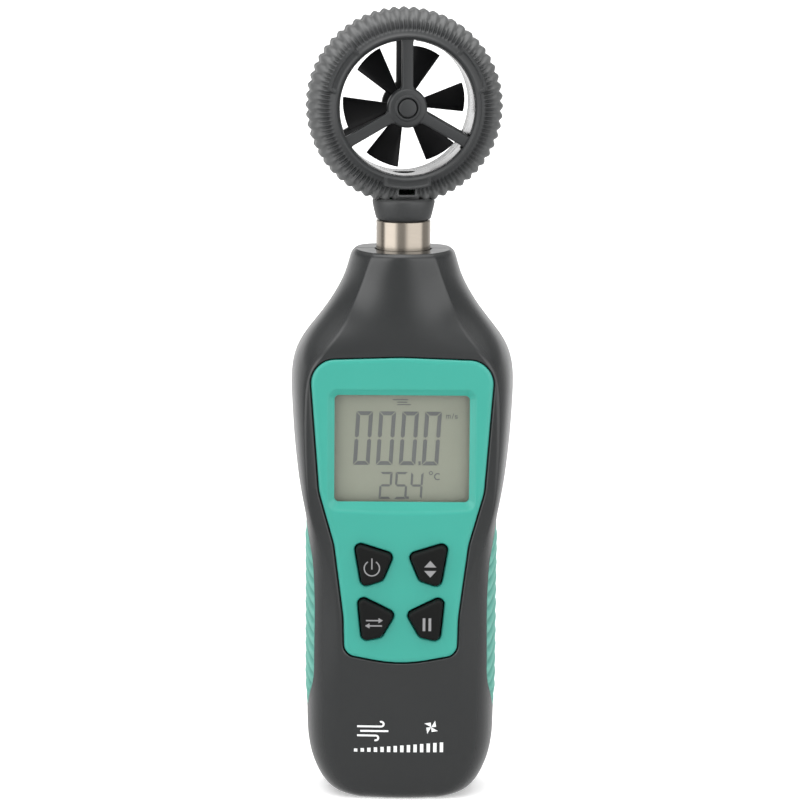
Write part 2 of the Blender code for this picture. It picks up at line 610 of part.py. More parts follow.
def coil(name, x, y, z_range, turns=3.0, radius=3.0, thick=0.35):
    """A conical contact spring, wide at its first height."""
    per_turn = 8
    count = int(turns * per_turn)
    low, high = z_range
    path = []
    for i in range(count + 1):
        share = i / count
        angle = 2 * math.pi * i / per_turn
        reach = radius * (1 - 0.35 * share)
        path.append((x + reach * math.cos(angle), y + reach * math.sin(angle), low + (high - low) * share))
    return wire(name, path, thick, 5)


def build_batteries(looks):
    floor, roof = BAY_Z
    plate_thick, inset, spring_room = 0.5, 0.3, 4.6
    plus_end = inset + plate_thick + 0.3
    length = CELL_LENGTH + CELL_NUB
    for i, x in enumerate((-CELL_PITCH, 0, CELL_PITCH)):
        up = i != 1
        flat_end = roof - plus_end - length if up else floor + plus_end + length
        cell = turned(f"battery_{i + 1}", cell_profile(flat_end, up), "Z", (x, CELL_Y, 0), 14)
        finish(cell, looks["cell"])

    def plate(name, x_range, at_floor):
        z = floor + inset if at_floor else roof - inset - plate_thick
        return box(name, (x_range[0], 3.0, z), (x_range[1], 10.5, z + plate_thick))

    edge, part = 15.6, 5.7
    lower = plate("contact_bridge_lower", (-edge, part - 1.6), True)
    upper = plate("contact_bridge_upper", (1.6 - part, edge), False)
    minus = plate("contact_minus", (part, edge), True)
    plus = plate("contact_plus", (-edge, -part), False)
    from_floor = (floor + inset + plate_thick - 0.1, floor + spring_room)
    from_roof = (roof - inset - plate_thick + 0.1, roof - spring_room)
    combine(lower, coil("spring_1", -CELL_PITCH, CELL_Y, from_floor), "UNION")
    combine(upper, coil("spring_2", 0, CELL_Y, from_roof), "UNION")
    combine(minus, coil("spring_3", CELL_PITCH, CELL_Y, from_floor), "UNION")
    for contact in (lower, upper, minus, plus):
        finish(contact, looks["steel"])


def build_case_screws(looks):
    seat = SEAT_Y + GAP
    profile = ((0, -8.2), (1.2, -7.2), (1.2, seat), (2.2, seat), (2.2, seat + 1.0), (1.6, seat + 1.7),
               (0, seat + 1.7))
    for i, (x, z) in enumerate(CASE_SCREWS):
        finish(turned(f"case_screw_{i + 1}", profile, "Y", (x, 0, z), 12), looks["steel"])


def build_cable(looks):
    finish(wire("sensor_cable", CABLE_PATH, CABLE_RADIUS, 8), looks["black_rubber"])


# ---------------------------------------------------------------- vane head


def head_ring(name, side, parent):
    """Half of the ribbed ring, from the parting plane out to the front (side -1) or back (side +1) lip."""
    lip = RING_HALF_DEPTH
    inner = ((SLEEVE_SEAT_RADIUS, GAP / 2), (SLEEVE_SEAT_RADIUS, SLEEVE_HALF + GAP),
             (BORE_RADIUS, SLEEVE_HALF + GAP), (BORE_RADIUS, lip - 0.5), (15.7, lip), (16.4, lip),
             (17.3, lip - 0.3))
    outer = ((20.0, 0.0, lip - 1.6), (CREST_RADIUS, RIB_DEPTH, lip - 4.4),
             (CREST_RADIUS, RIB_DEPTH, GAP / 2))
    points, rows = [], []
    for radius, along in inner:
        row = range(len(points), len(points) + RIB_COUNT)
        for i in row:
            angle = 2 * math.pi * (i - row[0]) / RIB_COUNT
            points.append((radius * math.cos(angle), side * along, radius * math.sin(angle)))
        rows.append(list(row))
    for radius, dip, along in outer:
        row = range(len(points), len(points) + 2 * RIB_COUNT)
        for i in row:
            angle = math.pi * (i - row[0]) / RIB_COUNT
            reach = radius - (dip if (i - row[0]) % 2 else 0)
            points.append((reach * math.cos(angle), side * along, reach * math.sin(angle)))
        rows.append(list(row))

    faces = []
    for first, second in zip(rows, rows[1:] + rows[:1]):
        fewer, more = sorted((first, second), key=len)
        for i in range(len(fewer)):
            after = (i + 1) % len(fewer)
            if len(fewer) == len(more):
                faces.append((fewer[i], more[i], more[after], fewer[after]))
            else:
                even, odd, even_after = more[2 * i], more[2 * i + 1], more[2 * after]
                faces.append((fewer[i], even, odd))
                faces.append((fewer[i], odd, fewer[after]))
                faces.append((fewer[after], odd, even_after))
    return mesh_object(name, points, faces, parent)


def spoke(name, angle, side, parent, grow=0.0):
    """One spoke of the guard, from the hub to the ring. A grown one cuts its notch in the duct sleeve."""
    near, far = sorted((side * (SPOKE_Y[0] - grow), side * (SPOKE_Y[1] + grow)))
    half = SPOKE_WIDTH / 2 + grow
    made = box(name, (SPOKE_ENDS[0], near, -half), (SPOKE_ENDS[1], far, half), parent)
    made.data.transform(Matrix.Rotation(-angle, 4, "Y"))
    return made


def build_head_shell(name, side, parent, looks):
    shell = head_ring(name, side, parent)
    tag = "front" if side < 0 else "rear"
    for i, degrees in enumerate(SPOKE_ANGLES):
        combine(shell, spoke(f"{tag}_spoke_{i}", math.radians(degrees), side, parent), "UNION")
    foot, top = HUB_Y
    profile = ((0, top - 0.7), (2.2, top - 0.7), (2.2, top), (HUB_RADIUS - 0.5, top),
               (HUB_RADIUS, top - 0.5), (HUB_RADIUS, foot), (1.75, foot), (1.75, top - 1.1), (0, top - 1.1))
    profile = [(radius, side * along) for radius, along in profile]
    hub = turned(f"{tag}_hub", profile, "Y", steps=24, parent=parent)
    combine(shell, hub, "UNION")

    collar_profile = ((SPIGOT_RADIUS, SPIGOT_FOOT_Z), (SPIGOT_RADIUS, COLLAR_FOOT_Z),
                      (COLLAR_FOOT_RADIUS, COLLAR_FOOT_Z), (COLLAR_TOP_RADIUS, -21.3),
                      (COLLAR_TOP_RADIUS + 0.2, -18.5))
    collar = turned(f"{tag}_collar", collar_profile, "Z", steps=24, parent=parent)
    keep = (GAP / 2, 30) if side > 0 else (-30, -GAP / 2)
    combine(collar, box(f"{tag}_collar_half", (-30, keep[0], -40), (30, keep[1], 40), parent), "INTERSECT")
    combine(shell, collar, "UNION")
    combine(shell, box(f"{tag}_pocket", POCKET_LOW, POCKET_HIGH, parent))
    combine(shell, rod(f"{tag}_cable_bore", CABLE_BORE, (-35, -24.0), "Z", steps=16, parent=parent))
    for i, degrees in enumerate(SPOKE_ANGLES):
        angle = math.radians(degrees)
        place = (HEAD_SCREW_RADIUS * math.cos(angle), 0, HEAD_SCREW_RADIUS * math.sin(angle))
        combine(shell, rod(f"{tag}_screw_bore_{i}", HEAD_SCREW_BORE, (-5, 6), "Y", place, 12, parent))
        if side > 0:
            combine(shell, rod(f"rear_screw_seat_{i}", HEAD_SCREW_SEAT, (3.8, 20), "Y", place, 12, parent))
    if side < 0:
        across, tall = VENT_SIZE
        low, high = (-across / 2, -12, VENT_Z - tall / 2), (across / 2, -5, VENT_Z + tall / 2)
        combine(shell, box("vent_slot", low, high, parent))
    return finish(shell, looks["head"])


def build_duct(parent, looks):
    outer = SLEEVE_RADIUS + SLEEVE_THICK
    span = (-SLEEVE_HALF, SLEEVE_HALF)
    sleeve = pipe("duct_sleeve", outer, SLEEVE_RADIUS, span, "Y", steps=60, parent=parent)
    slot = rectangle(PICKUP_SLOT_X, (-PICKUP_SLOT_Y, PICKUP_SLOT_Y), PICKUP_SLOT_Y)
    combine(sleeve, loft("pickup_slot", [[(x, y, z) for x, y in slot] for z in (-18, -12)], parent))
    for i, degrees in enumerate(SPOKE_ANGLES):
        for side in (-1, 1):
            combine(sleeve, spoke(f"sleeve_notch_{i}_{side}", math.radians(degrees), side, parent, GAP))
    finish(sleeve, looks["bright_metal"])
    for tag, side in (("front", -1), ("rear", 1)):
        span = sorted((side * 5.1, side * (HUB_Y[1] - 1.3)))
        bore = SHAFT_RADIUS + BEARING_PLAY
        bearing = pipe(f"{tag}_bearing", BEARING_RADIUS, bore, span, "Y", steps=16, parent=parent)
        finish(bearing, looks["brass"])
        cap = sorted((side * (HUB_Y[1] - 0.55), side * (HUB_Y[1] + 0.25)))
        finish(rod(f"{tag}_hub_cap", 1.95, cap, "Y", steps=20, parent=parent), looks["head"])
    finish(box("sensor_board", SENSOR_BOARD_LOW, SENSOR_BOARD_HIGH, parent), looks["board"])
    finish(box("pickup_sensor", PICKUP_LOW, PICKUP_HIGH, parent), looks["black_plastic"])
    bead = ((0, -4.2), (0.75, -3.8), (1.0, -3.1), (0.75, -2.4), (0.4, -2.1), (0.4, 1.5), (0, 1.5))
    finish(turned("thermistor", bead, "Y", (0, 0, VENT_Z), 10, parent), looks["black_plastic"])
    profile = ((0, -4.4), (0.8, -4.0), (0.8, 4.1), (1.6, 4.1), (1.6, 5.0), (1.1, 5.4), (0, 5.4))
    for i, degrees in enumerate(SPOKE_ANGLES):
        angle = math.radians(degrees)
        place = (HEAD_SCREW_RADIUS * math.cos(angle), 0, HEAD_SCREW_RADIUS * math.sin(angle))
        finish(turned(f"head_screw_{i + 1}", profile, "Y", place, 10, parent), looks["steel"])


def build_neck(parent, looks):
    """The tube turns with the head, and the ring in its groove keeps it in the case."""
    foot, top = (z - RING_Z for z in TUBE_Z)
    groove = CLIP_Z - RING_Z
    deep = TUBE_RADIUS - 0.3
    profile = ((TUBE_BORE, foot), (TUBE_RADIUS, foot), (TUBE_RADIUS, groove - 0.6), (deep, groove - 0.6),
               (deep, groove + 0.6), (TUBE_RADIUS, groove + 0.6), (TUBE_RADIUS, top), (TUBE_BORE, top))
    finish(turned("neck_tube", profile, "Z", steps=24, parent=parent, hollow=True), looks["nickel"])
    span = (groove - CLIP_THICK / 2, groove + CLIP_THICK / 2)
    clip = pipe("neck_retaining_ring", CLIP_RADIUS, deep + 0.12, span, "Z", steps=24, parent=parent)
    finish(clip, looks["steel"])


def blade(name, middle, parent):
    """One flat-pitched blade: a sector that slopes along the axis as it goes round."""
    steps = 4
    half_span = math.radians(BLADE_SPAN / 2)
    rings = []
    for radius, share in BLADE_STATIONS:
        top, under = [], []
        for k in range(steps + 1):
            turn = half_span * share * (2 * k / steps - 1)
            rise = BLADE_PITCH * radius * turn
            angle = middle + turn
            spot = Vector((radius * math.cos(angle), rise, radius * math.sin(angle)))
            around = Vector((-math.sin(angle), 0, math.cos(angle)))
            normal = (Vector((0, 1, 0)) - BLADE_PITCH * around).normalized() * BLADE_THICK / 2
            top.append(tuple(spot + normal))
            under.append(tuple(spot - normal))
        rings.append(top + under[::-1])
    return loft(name, rings, parent)


def build_rotor(parent, looks):
    bore = SHAFT_RADIUS + 0.15
    half = ROTOR_HUB_HALF
    profile = ((bore, -half), (2.4, -half), (ROTOR_HUB_RADIUS, -half + 0.8), (ROTOR_HUB_RADIUS, half - 0.8),
               (2.4, half), (bore, half))
    rotor = turned("impeller", profile, "Y", steps=24, parent=parent, hollow=True)
    for i in range(BLADES):
        middle = math.radians(BLADE_START + 360 * i / BLADES)
        combine(rotor, blade(f"blade_{i}", middle, parent), "UNION")
    finish(rotor, looks["black_plastic"])
    tip = SHAFT_HALF - 0.3
    profile = ((0, -SHAFT_HALF), (SHAFT_RADIUS, -tip), (SHAFT_RADIUS, tip), (0, SHAFT_HALF))
    finish(turned("impeller_shaft", profile, "Y", steps=16, parent=parent), looks["steel"])


def build_materials():
    return {
        "case": material("case plastic", (0.045, 0.048, 0.05), 0.32),
        "head": material("head plastic", (0.07, 0.075, 0.078), 0.5),
        "panel": material("panel plastic", (0.07, 0.47, 0.39), 0.42),
        "grip": material("grip rubber", (0.16, 0.58, 0.49), 0.6),
        "key": material("key rubber", (0.018, 0.018, 0.018), 0.55),
        "black_plastic": material("black plastic", (0.006, 0.006, 0.006), 0.4),
        "black_rubber": material("black rubber", (0.015, 0.015, 0.015), 0.7),
        "window": material("window", (0.75, 0.76, 0.7), 0.05),
        "glass": material("display glass", (0.29, 0.3, 0.24), 0.2),
        "diffuser": material("diffuser", (0.85, 0.85, 0.82), 0.4),
        "board": material("circuit board", (0.02, 0.14, 0.05), 0.4),
        "cell": material("cell sleeve", (0.25, 0.27, 0.3), 0.35),
        "steel": material("steel", (0.6, 0.6, 0.6), 0.3, 1.0),
        "nickel": material("nickel", (0.72, 0.65, 0.56), 0.25, 1.0),
        "bright_metal": material("bright metal", (0.75, 0.75, 0.75), 0.3, 1.0),
        "brass": material("brass", (0.72, 0.55, 0.25), 0.3, 1.0),
    }


def main():
    clear_scene()
    looks = build_materials()
    build_front_shell(looks)
    build_rear_shell(looks)
    build_panel(looks)
    build_grips(looks)
    build_battery_cover(looks)
    build_keys(looks)
    build_display(looks)
    build_board(looks)
    build_batteries(looks)
    build_case_screws(looks)
    build_cable(looks)
    head = pivot("head_swivel", (0, 0, RING_Z), HEAD_TURN)
    build_head_shell("head_front_shell", -1, head, looks)
    build_head_shell("head_rear_shell", 1, head, looks)
    build_duct(head, looks)
    build_neck(head, looks)
    build_rotor(pivot("impeller_spin", (0, 0, 0), parent=head), looks)


main()
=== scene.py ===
"""Looks of the hand-held vane anemometer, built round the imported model.

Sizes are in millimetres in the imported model's frame: +Z up the handle, -Y out of the display, +X to the
right of someone reading it. mesh_object() turns millimetres into Blender's metres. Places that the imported
model fixes, such as a part's box or a joint's axis, are read from it.
"""

import json
import math

import bpy
import bmesh
import numpy as np
from mathutils import Matrix, Vector


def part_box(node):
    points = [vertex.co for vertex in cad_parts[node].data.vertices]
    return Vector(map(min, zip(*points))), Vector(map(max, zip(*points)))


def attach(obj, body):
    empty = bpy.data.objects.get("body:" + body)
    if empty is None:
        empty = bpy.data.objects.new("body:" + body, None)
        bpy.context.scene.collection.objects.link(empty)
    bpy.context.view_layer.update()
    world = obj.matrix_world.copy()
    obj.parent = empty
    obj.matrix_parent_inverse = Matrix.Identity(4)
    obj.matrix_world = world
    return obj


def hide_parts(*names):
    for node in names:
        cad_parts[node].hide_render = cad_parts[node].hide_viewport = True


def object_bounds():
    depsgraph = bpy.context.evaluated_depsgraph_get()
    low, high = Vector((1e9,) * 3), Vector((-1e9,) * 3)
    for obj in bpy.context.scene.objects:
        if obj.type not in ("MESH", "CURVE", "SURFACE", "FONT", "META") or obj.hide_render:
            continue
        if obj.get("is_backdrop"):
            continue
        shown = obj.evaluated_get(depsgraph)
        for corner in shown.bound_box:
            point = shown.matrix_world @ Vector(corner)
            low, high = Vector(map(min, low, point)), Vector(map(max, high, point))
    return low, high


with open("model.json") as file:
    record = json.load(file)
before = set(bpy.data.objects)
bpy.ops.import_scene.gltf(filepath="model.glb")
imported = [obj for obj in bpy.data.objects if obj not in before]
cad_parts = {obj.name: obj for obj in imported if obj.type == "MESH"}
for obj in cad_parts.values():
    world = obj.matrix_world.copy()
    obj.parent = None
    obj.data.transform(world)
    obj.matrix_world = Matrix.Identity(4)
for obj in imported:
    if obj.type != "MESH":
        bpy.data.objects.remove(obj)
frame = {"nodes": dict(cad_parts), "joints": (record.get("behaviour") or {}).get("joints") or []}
cad_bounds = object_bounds()

MM = 0.001
GAP = 0.3  # clearance between neighbouring parts


def node_box(name):
    """A CAD node's lowest and highest corners, in millimetres."""
    low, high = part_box(name)
    return low / MM, high / MM


def joint_named(name):
    return next(joint for joint in frame["joints"] if joint["name"] == name)


# ---------------------------------------------------------------- sizes

shell_low, shell_high = node_box("front_shell")
CASE_HEIGHT = shell_high.z
SEAM_Y = shell_high.y + GAP / 2
FACE_Y = -shell_low.y  # the flat front face is this far ahead of the swivel axis
BACK_Y = node_box("rear_shell")[1].y
WALL = 2.4
# Outline tables of the case: (height, value) pairs, joined by a smooth curve
CASE_SIDE = ((0, 12.8), (0.8, 15.3), (2.2, 17.1), (5.7, 19.2), (11.2, 20.9), (17, 21.1), (25, 21.15),
             (62, 21.3), (66, 22.2), (73, 23.4), (84, 24.5), (95.2, 25.0), (98.8, 24.6), (102.5, 23.2),
             (106, 20.4), (109.8, 17.3), (113.4, 15.0), (117, 13.2), (120.7, 12.1), (122.3, 11.6),
             (CASE_HEIGHT, 10.4))
CASE_FRONT = ((0, 12.2), (0.8, 13.5), (2.2, 14.4), (5.7, 15.2), (11.2, 15.6), (20, 15.9), (30, FACE_Y),
              (101, FACE_Y), (104, 15.3), (108, 14.0), (113, 12.7), (118, 12.0), (122.3, 11.7),
              (CASE_HEIGHT, 10.7))
CASE_BACK = ((0, 8.0), (0.8, 9.6), (2.2, 10.9), (5.7, 12.4), (11.2, 13.6), (18, BACK_Y), (94, BACK_Y),
             (100, 13.7), (105, 12.5), (110, 11.3), (116, 10.6), (122.3, 10.3), (CASE_HEIGHT, 9.4))
# The front face ends in a crease this far from the middle, from which the side drops away by CREASE_DROP
CREASE_X = ((0, 7.0), (2.2, 9.0), (5.7, 10.8), (14, 12.4), (30, 13.3), (38.7, 13.9), (44, 14.3), (48, 15.0),
            (52, 15.8), (55, 16.8), (58, 18.0), (62, 19.2), (66, 20.5), (73, 21.2), (84, 21.5), (95, 21.1),
            (98.6, 19.9), (101.7, 17.5), (105, 14.4), (109.5, 11.7), (116.5, 9.0), (CASE_HEIGHT, 6.6))
CREASE_DROP = ((0, 0.4), (24, 0.8), (34, 1.5), (44, 2.4), (56, 2.8), (64, 3.3), (73, 3.8), (95, 4.0),
               (104, 4.6), (112, 5.2), (CASE_HEIGHT, 4.6))
FRONT_CROWN = ((0, 0.8), (20, 0.3), (32, 0.0), (101, 0.0), (106, 1.0), (112, 1.9), (CASE_HEIGHT, 2.1))
BACK_FLAT_X = ((0, 5.0), (14, 14.5), (96, 14.5), (110, 6.0), (CASE_HEIGHT, 4.0))
SIDE_LEAN, LEAST_SIDE = 0.2, 1.5
CREASE_ROUND = 0.5  # half-length of the crease's fillet
SEAM_BEVEL = 0.2
STRIP_DEPTHS = (1.7, 2.3)  # how far inside the case's surface the strip in its seam runs
WEB_Z = (112.4, 114.4)
FINE_STEPS, COARSE_STEPS = (20, 14, 20, 8), (7, 4, 7, 4)  # points on front side and face, back side and face
LEVEL_STEP, LEVEL_STEP_END = 1.2, 0.16  # spacing of the case's sections, in the middle and near the ends
CUT_FRONT, CUT_BACK = -20, 25  # cutters along Y reach this far, clear of the case
BOSS_RADIUS, REAR_BOSS_RADIUS, BOARD_BOSS_RADIUS = 2.8, 3.2, 2.1
SCREW_BORE, SCREW_SEAT, SCREW_SEAT_Y, BOARD_BORE = 1.5, 2.5, 5.0, 0.95

# Front panel, display and keys: panel corners are (x, z, radius), right half
panel_low, panel_high = node_box("front_panel")
PANEL_CORNERS = ((0, 100.7, 60), (20.6, 100.0, 5.3), (18.3, 70.5, 10), (14.9, 58.6, 12), (12.75, 42, 20),
                 (12.55, 33.7, 2.8), (0, 31.3, 60))
LCD_X, LCD_Z = 15.0, (68.2, 92.2)
LCD_BEVEL_SIDE, LCD_BEVEL_TOP, LCD_BEVEL_FOOT, LCD_FOOT_BOW = 1.5, 1.5, 2.0, 0.7
LCD_BEVEL_DEPTH = 1.2
PANEL_RIM, PANEL_RIM_DEPTH = 1.1, 0.5
UPPER_KEY = ((-10.4, 59.2), (-1.8, 56.5), (-4.2, 50.75), (-8.65, 49.25))
LOWER_KEY = ((-9.6, 47.2), (-1.35, 43.1), (-4.4, 37.85), (-8.55, 36.95))
KEYS = {
    "key_power": (UPPER_KEY, False, "power_key"),
    "key_peak": (UPPER_KEY, True, "peak_key"),
    "key_unit": (LOWER_KEY, False, "unit_key"),
    "key_hold": (LOWER_KEY, True, "hold_key"),
}
KEY_ROUND, KEY_ROUND_OVER = 1.1, 0.75
KEY_FLANGE, KEY_FLANGE_Y = 1.0, (-12.9, -11.9)
PRINT_PROUD = 0.04  # printed marks stand this far off their surface
# Digits: left edge of the first, pitch, foot, width, height and thickness of a bar
SPEED_DIGITS = (-10.9, 5.1, 76.15, 3.7, 12.1, 0.88)
HEAT_DIGITS = (-5.15, 3.45, 68.5, 2.75, 6.1, 0.5)
DIGIT_SLANT = math.tan(math.radians(3.6))

# Grips, as (y, z, radius) corners in the side view
GRIP_CORNERS = ((-11.2, 56.5, 6), (-4.0, 62.0, 3), (7.5, 61.5, 4), (10.0, 45, 8), (8.0, 22.5, 5),
                (-2.5, 18.6, 3), (-10.4, 26.5, 7))
GRIP_PROUD, GRIP_INSET, GRIP_FLOOR = 0.25, 1.2, 1.5
GRIP_BLOCK_X, GRIP_TRIM_Z, GRIP_POINTS, GRIP_LEVELS = (15.0, 30.0), (10, 72), 44, 130
GRIP_SINK, GRIP_RIM, GRIP_FADE_FOOT, GRIP_FADE_TOP = 0.1, (-0.1, 0.6), 6, 4
RIDGE_PITCH, RIDGE_HEIGHT, RIDGE_SLOPE, RIDGE_LEVEL = 3.15, 0.95, 0.5, 3.6

# Batteries, their bay and its cover
BAY_X, BAY_Z, BAY_FLOOR_Y, BAY_WALL = 17.1, (14.6, 65.4), 1.2, 1.0
COVER_X, COVER_Z, COVER_ROUND, COVER_THICK = 18.2, (12.8, 67.2), 3.0, 1.6
COVER_TRIM_Z, COVER_CUT_Y = (8, 72), 5
COVER_RIBS, COVER_RIB_PITCH, COVER_RIB_HALF = 6, 1.7, 0.4

# Vane head, in its own frame: ring centre at the origin, air enters along +Y
spin = joint_named("impeller_spin")
HEAD = Matrix.Translation(Vector(spin["pos_m"]) / MM) @ Matrix.Rotation(
    math.atan2(spin["axis"][0], -spin["axis"][1]), 4, "Z")
RIB_COUNT, AROUND_RIB = 60, 12
RING_HALF_DEPTH, CREST_RADIUS, BORE_RADIUS, SEAT_RADIUS = 8.0, 21.9, 15.2, 15.9
LIP_RADIUS, PAD_RADIUS, PAD_ANGLES, PAD_HALF_ANGLE = 16.15, 17.9, (30, 150, 270), 18
# The last pair: radii over which the ribs' painted highlight grows towards their crests.
PAD_DIP, RIB_DEPTH, LIP, RIB_HIGHLIGHT_RADII = 0.3, 0.62, (15.85, 16.15), (17.2, 21.0)
SLEEVE_RADIUS, SLEEVE_THICK, SLEEVE_HALF = 15.0, 0.6, 6.8
PICKUP_SHADE_PAD = (-15.9, -14.93)  # painted shade: a black pad that mirrors nothing, filling the pickup slot almost flush in the sleeve
HUB_RADIUS, HUB_Y, SPOKE_WIDTH, SPOKE_Y, SPOKE_ANGLES = 4.45, (5.0, 7.6), 2.5, (5.0, 7.0), (90, 210, 330)
HEAD_SCREW_RADIUS = 18.5
VENT_Z, VENT_SIZE = -18.7, (3.7, 1.25)
SPIGOT_RADIUS, SPIGOT_FOOT_Z, CABLE_BORE = 5.1, -32.5, 2.4
BLADES, BLADE_SPAN, BLADE_START, BLADE_TIP, BLADE_THICK, BLADE_PITCH = 6, 30, 8, 13.6, 0.6, -0.8
HUB_CAP_RADIUS, HUB_FACE_RADIUS = 1.95, 3.7
POCKET_X, POCKET_Y, POCKET_Z = 3.6, 4.6, (-24.3, -14.5)
HEAD_SCREW_BORE, HEAD_SCREW_SEAT, HEAD_SCREW_SEAT_Y = 1.1, 1.95, 3.8
# How much of the painted highlight the lip gets, and how much lighter the collar is painted.
VENT_FRAME, LIP_HIGHLIGHT, COLLAR_LIGHTENING = 0.4, 0.1, 0.15
# The ring's outer corner: (radius, distance along the axis) pairs
CHAMFER = ((16.15, 8.0), (16.3, 7.85), (16.5, 7.62), (16.9, 7.42), (17.4, 7.25), (19.0, 6.5), (20.4, 5.4),
           (21.3, 4.2), (21.75, 3.2), (21.9, 2.4))

# ---------------------------------------------------------------- curves and outlines


def curve_at(points, z):
    """A smooth curve through (z, value) points that never overshoots between them."""
    if z <= points[0][0]:
        return points[0][1]
    if z >= points[-1][0]:
        return points[-1][1]
    last = len(points) - 1
    slopes = [(b[1] - a[1]) / (b[0] - a[0]) for a, b in zip(points, points[1:])]
    i = max(k for k in range(last) if points[k][0] <= z)

    def tangent(k):
        if k == 0 or k == last:
            return slopes[min(k, last - 1)]
        before, after = slopes[k - 1], slopes[k]
        return 0.0 if before * after <= 0 else 2 * before * after / (before + after)

    width = points[i + 1][0] - points[i][0]
    t = (z - points[i][0]) / width
    return (
        points[i][1] * (2 * t**3 - 3 * t**2 + 1)
        + tangent(i) * width * (t**3 - 2 * t**2 + t)
        + points[i + 1][1] * (3 * t**2 - 2 * t**3)
        + tangent(i + 1) * width * (t**3 - t**2)
    )


def eased(points, soft=2.5, step=0.2):
    """The curve through the points, averaged over a few millimetres away from its ends, as a function."""
    heights = np.arange(points[0][0], points[-1][0] + step / 2, step)
    values = np.array([curve_at(points, z) for z in heights])
    reach = np.minimum(heights - heights[0], heights[-1] - heights)
    width = np.minimum(soft, 0.25 * reach) + 0.01
    weights = np.exp(-0.5 * ((heights[None, :] - heights[:, None]) / width[:, None]) ** 2)
    smooth = (weights @ values) / weights.sum(1)
    return lambda z: float(np.interp(z, heights, smooth))


side_at, front_at, back_at = eased(CASE_SIDE), eased(CASE_FRONT), eased(CASE_BACK)
crease_at, drop_at = eased(CREASE_X), eased(CREASE_DROP)
crown_at, flat_at = eased(FRONT_CROWN), eased(BACK_FLAT_X)


def smooth_step(low, high, value):
    t = np.clip((value - low) / (high - low), 0, 1)
    return t * t * (3 - 2 * t)


def bezier(start, corner, end, steps):
    """Points from start to end round a soft corner, both ends included."""
    spots = []
    for k in range(steps + 1):
        u = k / steps
        weights = (1 - u) ** 2, 2 * u * (1 - u), u**2
        spots.append(tuple(
            weights[0] * a + weights[1] * b + weights[2] * c for a, b, c in zip(start, corner, end)))
    return spots


def rounded_outline(corners, arc_step=10):
    """A closed outline of (x, z, radius) corners, each replaced by an arc."""
    outline = []
    for i, (x, z, radius) in enumerate(corners):
        here = Vector((x, z))
        before = Vector(corners[i - 1][:2]) - here
        after = Vector(corners[(i + 1) % len(corners)][:2]) - here
        half = before.angle(after) / 2
        reach = min(radius / math.tan(half), 0.48 * before.length, 0.48 * after.length)
        middle = here + (before.normalized() + after.normalized()).normalized() * reach / math.cos(half)
        start = here + before.normalized() * reach - middle
        sweep = start.angle_signed(here + after.normalized() * reach - middle)
        steps = max(2, round(abs(math.degrees(sweep)) / arc_step))
        for k in range(steps + 1):
            spot = Matrix.Rotation(-sweep * k / steps, 2) @ start + middle
            outline.append((spot.x, spot.y))
    return outline


def grown(outline, by):
    """The outline moved outwards by a distance."""
    area = sum(a[0] * b[1] - b[0] * a[1] for a, b in zip(outline, outline[1:] + outline[:1]))
    outwards = 1 if area > 0 else -1
    moved = []
    for i, point in enumerate(outline):
        before, after = outline[i - 1], outline[(i + 1) % len(outline)]
        first = Vector((point[0] - before[0], point[1] - before[1])).normalized()
        second = Vector((after[0] - point[0], after[1] - point[1])).normalized()
        along = (first + second).normalized()
        stretch = by / max(0.5, along.dot(first))
        moved.append((point[0] + outwards * along.y * stretch, point[1] - outwards * along.x * stretch))
    return moved


def mirrored(corners):
    """A right-hand half outline, from its top middle to its foot middle, made whole."""
    left = [(-corner[0],) + tuple(corner[1:]) for corner in reversed(corners) if corner[0] > 0]
    return list(corners) + left


def rectangle(half_x, z_range, radius, arc_step=10):
    low, high = z_range
    corners = ((-half_x, high), (half_x, high), (half_x, low), (-half_x, low))
    return rounded_outline([(x, z, radius) for x, z in corners], arc_step)


def bowed_frame(half_x, foot, top, radius, bow, arc=7, edge=12):
    """A rounded rectangle with equally many points at any size, its foot bowed down in the middle."""
    outline = []
    centres = ((half_x, top, 0), (-half_x, top, 90), (-half_x, foot, 180), (half_x, foot, 270))
    for x, z, start in centres:
        middle = (x - math.copysign(radius, x), z + (radius if z == foot else -radius))
        for k in range(arc + 1):
            angle = math.radians(start + 90 * k / arc)
            outline.append((middle[0] + radius * math.cos(angle), middle[1] + radius * math.sin(angle)))
        ahead = centres[(centres.index((x, z, start)) + 1) % 4]
        begin = outline[-1]
        angle = math.radians(ahead[2])
        inwards = radius if ahead[1] == foot else -radius
        corner = (ahead[0] - math.copysign(radius, ahead[0]), ahead[1] + inwards)
        stop = (corner[0] + radius * math.cos(angle), corner[1] + radius * math.sin(angle))
        for k in range(1, edge):
            outline.append(tuple(begin[n] + (stop[n] - begin[n]) * k / edge for n in (0, 1)))
    bent = []
    for x, z in outline:
        low_share = max(0.0, 1 - (z - foot) / (2 * radius))
        bent.append((x, z - bow * low_share * max(0.0, 1 - (x / half_x) ** 2)))
    return bent


def key_outline(corners, mirror, arc_step=12):
    sign = -1 if mirror else 1
    return rounded_outline([(sign * x, z, KEY_ROUND) for x, z in corners], arc_step)


# ---------------------------------------------------------------- meshes


def mesh_object(name, points, faces, place=None):
    """An object from points in millimetres, with its faces turned outwards."""
    shape = bmesh.new()
    corners = [shape.verts.new(point) for point in points]
    for face in faces:
        shape.faces.new([corners[index] for index in face])
    bmesh.ops.recalc_face_normals(shape, faces=shape.faces)
    shape.transform(Matrix.Scale(MM, 4) @ (place or Matrix.Identity(4)))
    mesh = bpy.data.meshes.new(name)
    shape.to_mesh(mesh)
    shape.free()
    made = bpy.data.objects.new(name, mesh)
    bpy.context.scene.collection.objects.link(made)
    return made


def box(name, low, high, place=None):
    points = [(x, y, z) for x in (low[0], high[0]) for y in (low[1], high[1]) for z in (low[2], high[2])]
    faces = ((0, 1, 3, 2), (4, 6, 7, 5), (0, 4, 5, 1), (2, 3, 7, 6), (0, 2, 6, 4), (1, 5, 7, 3))
    return mesh_object(name, points, faces, place)


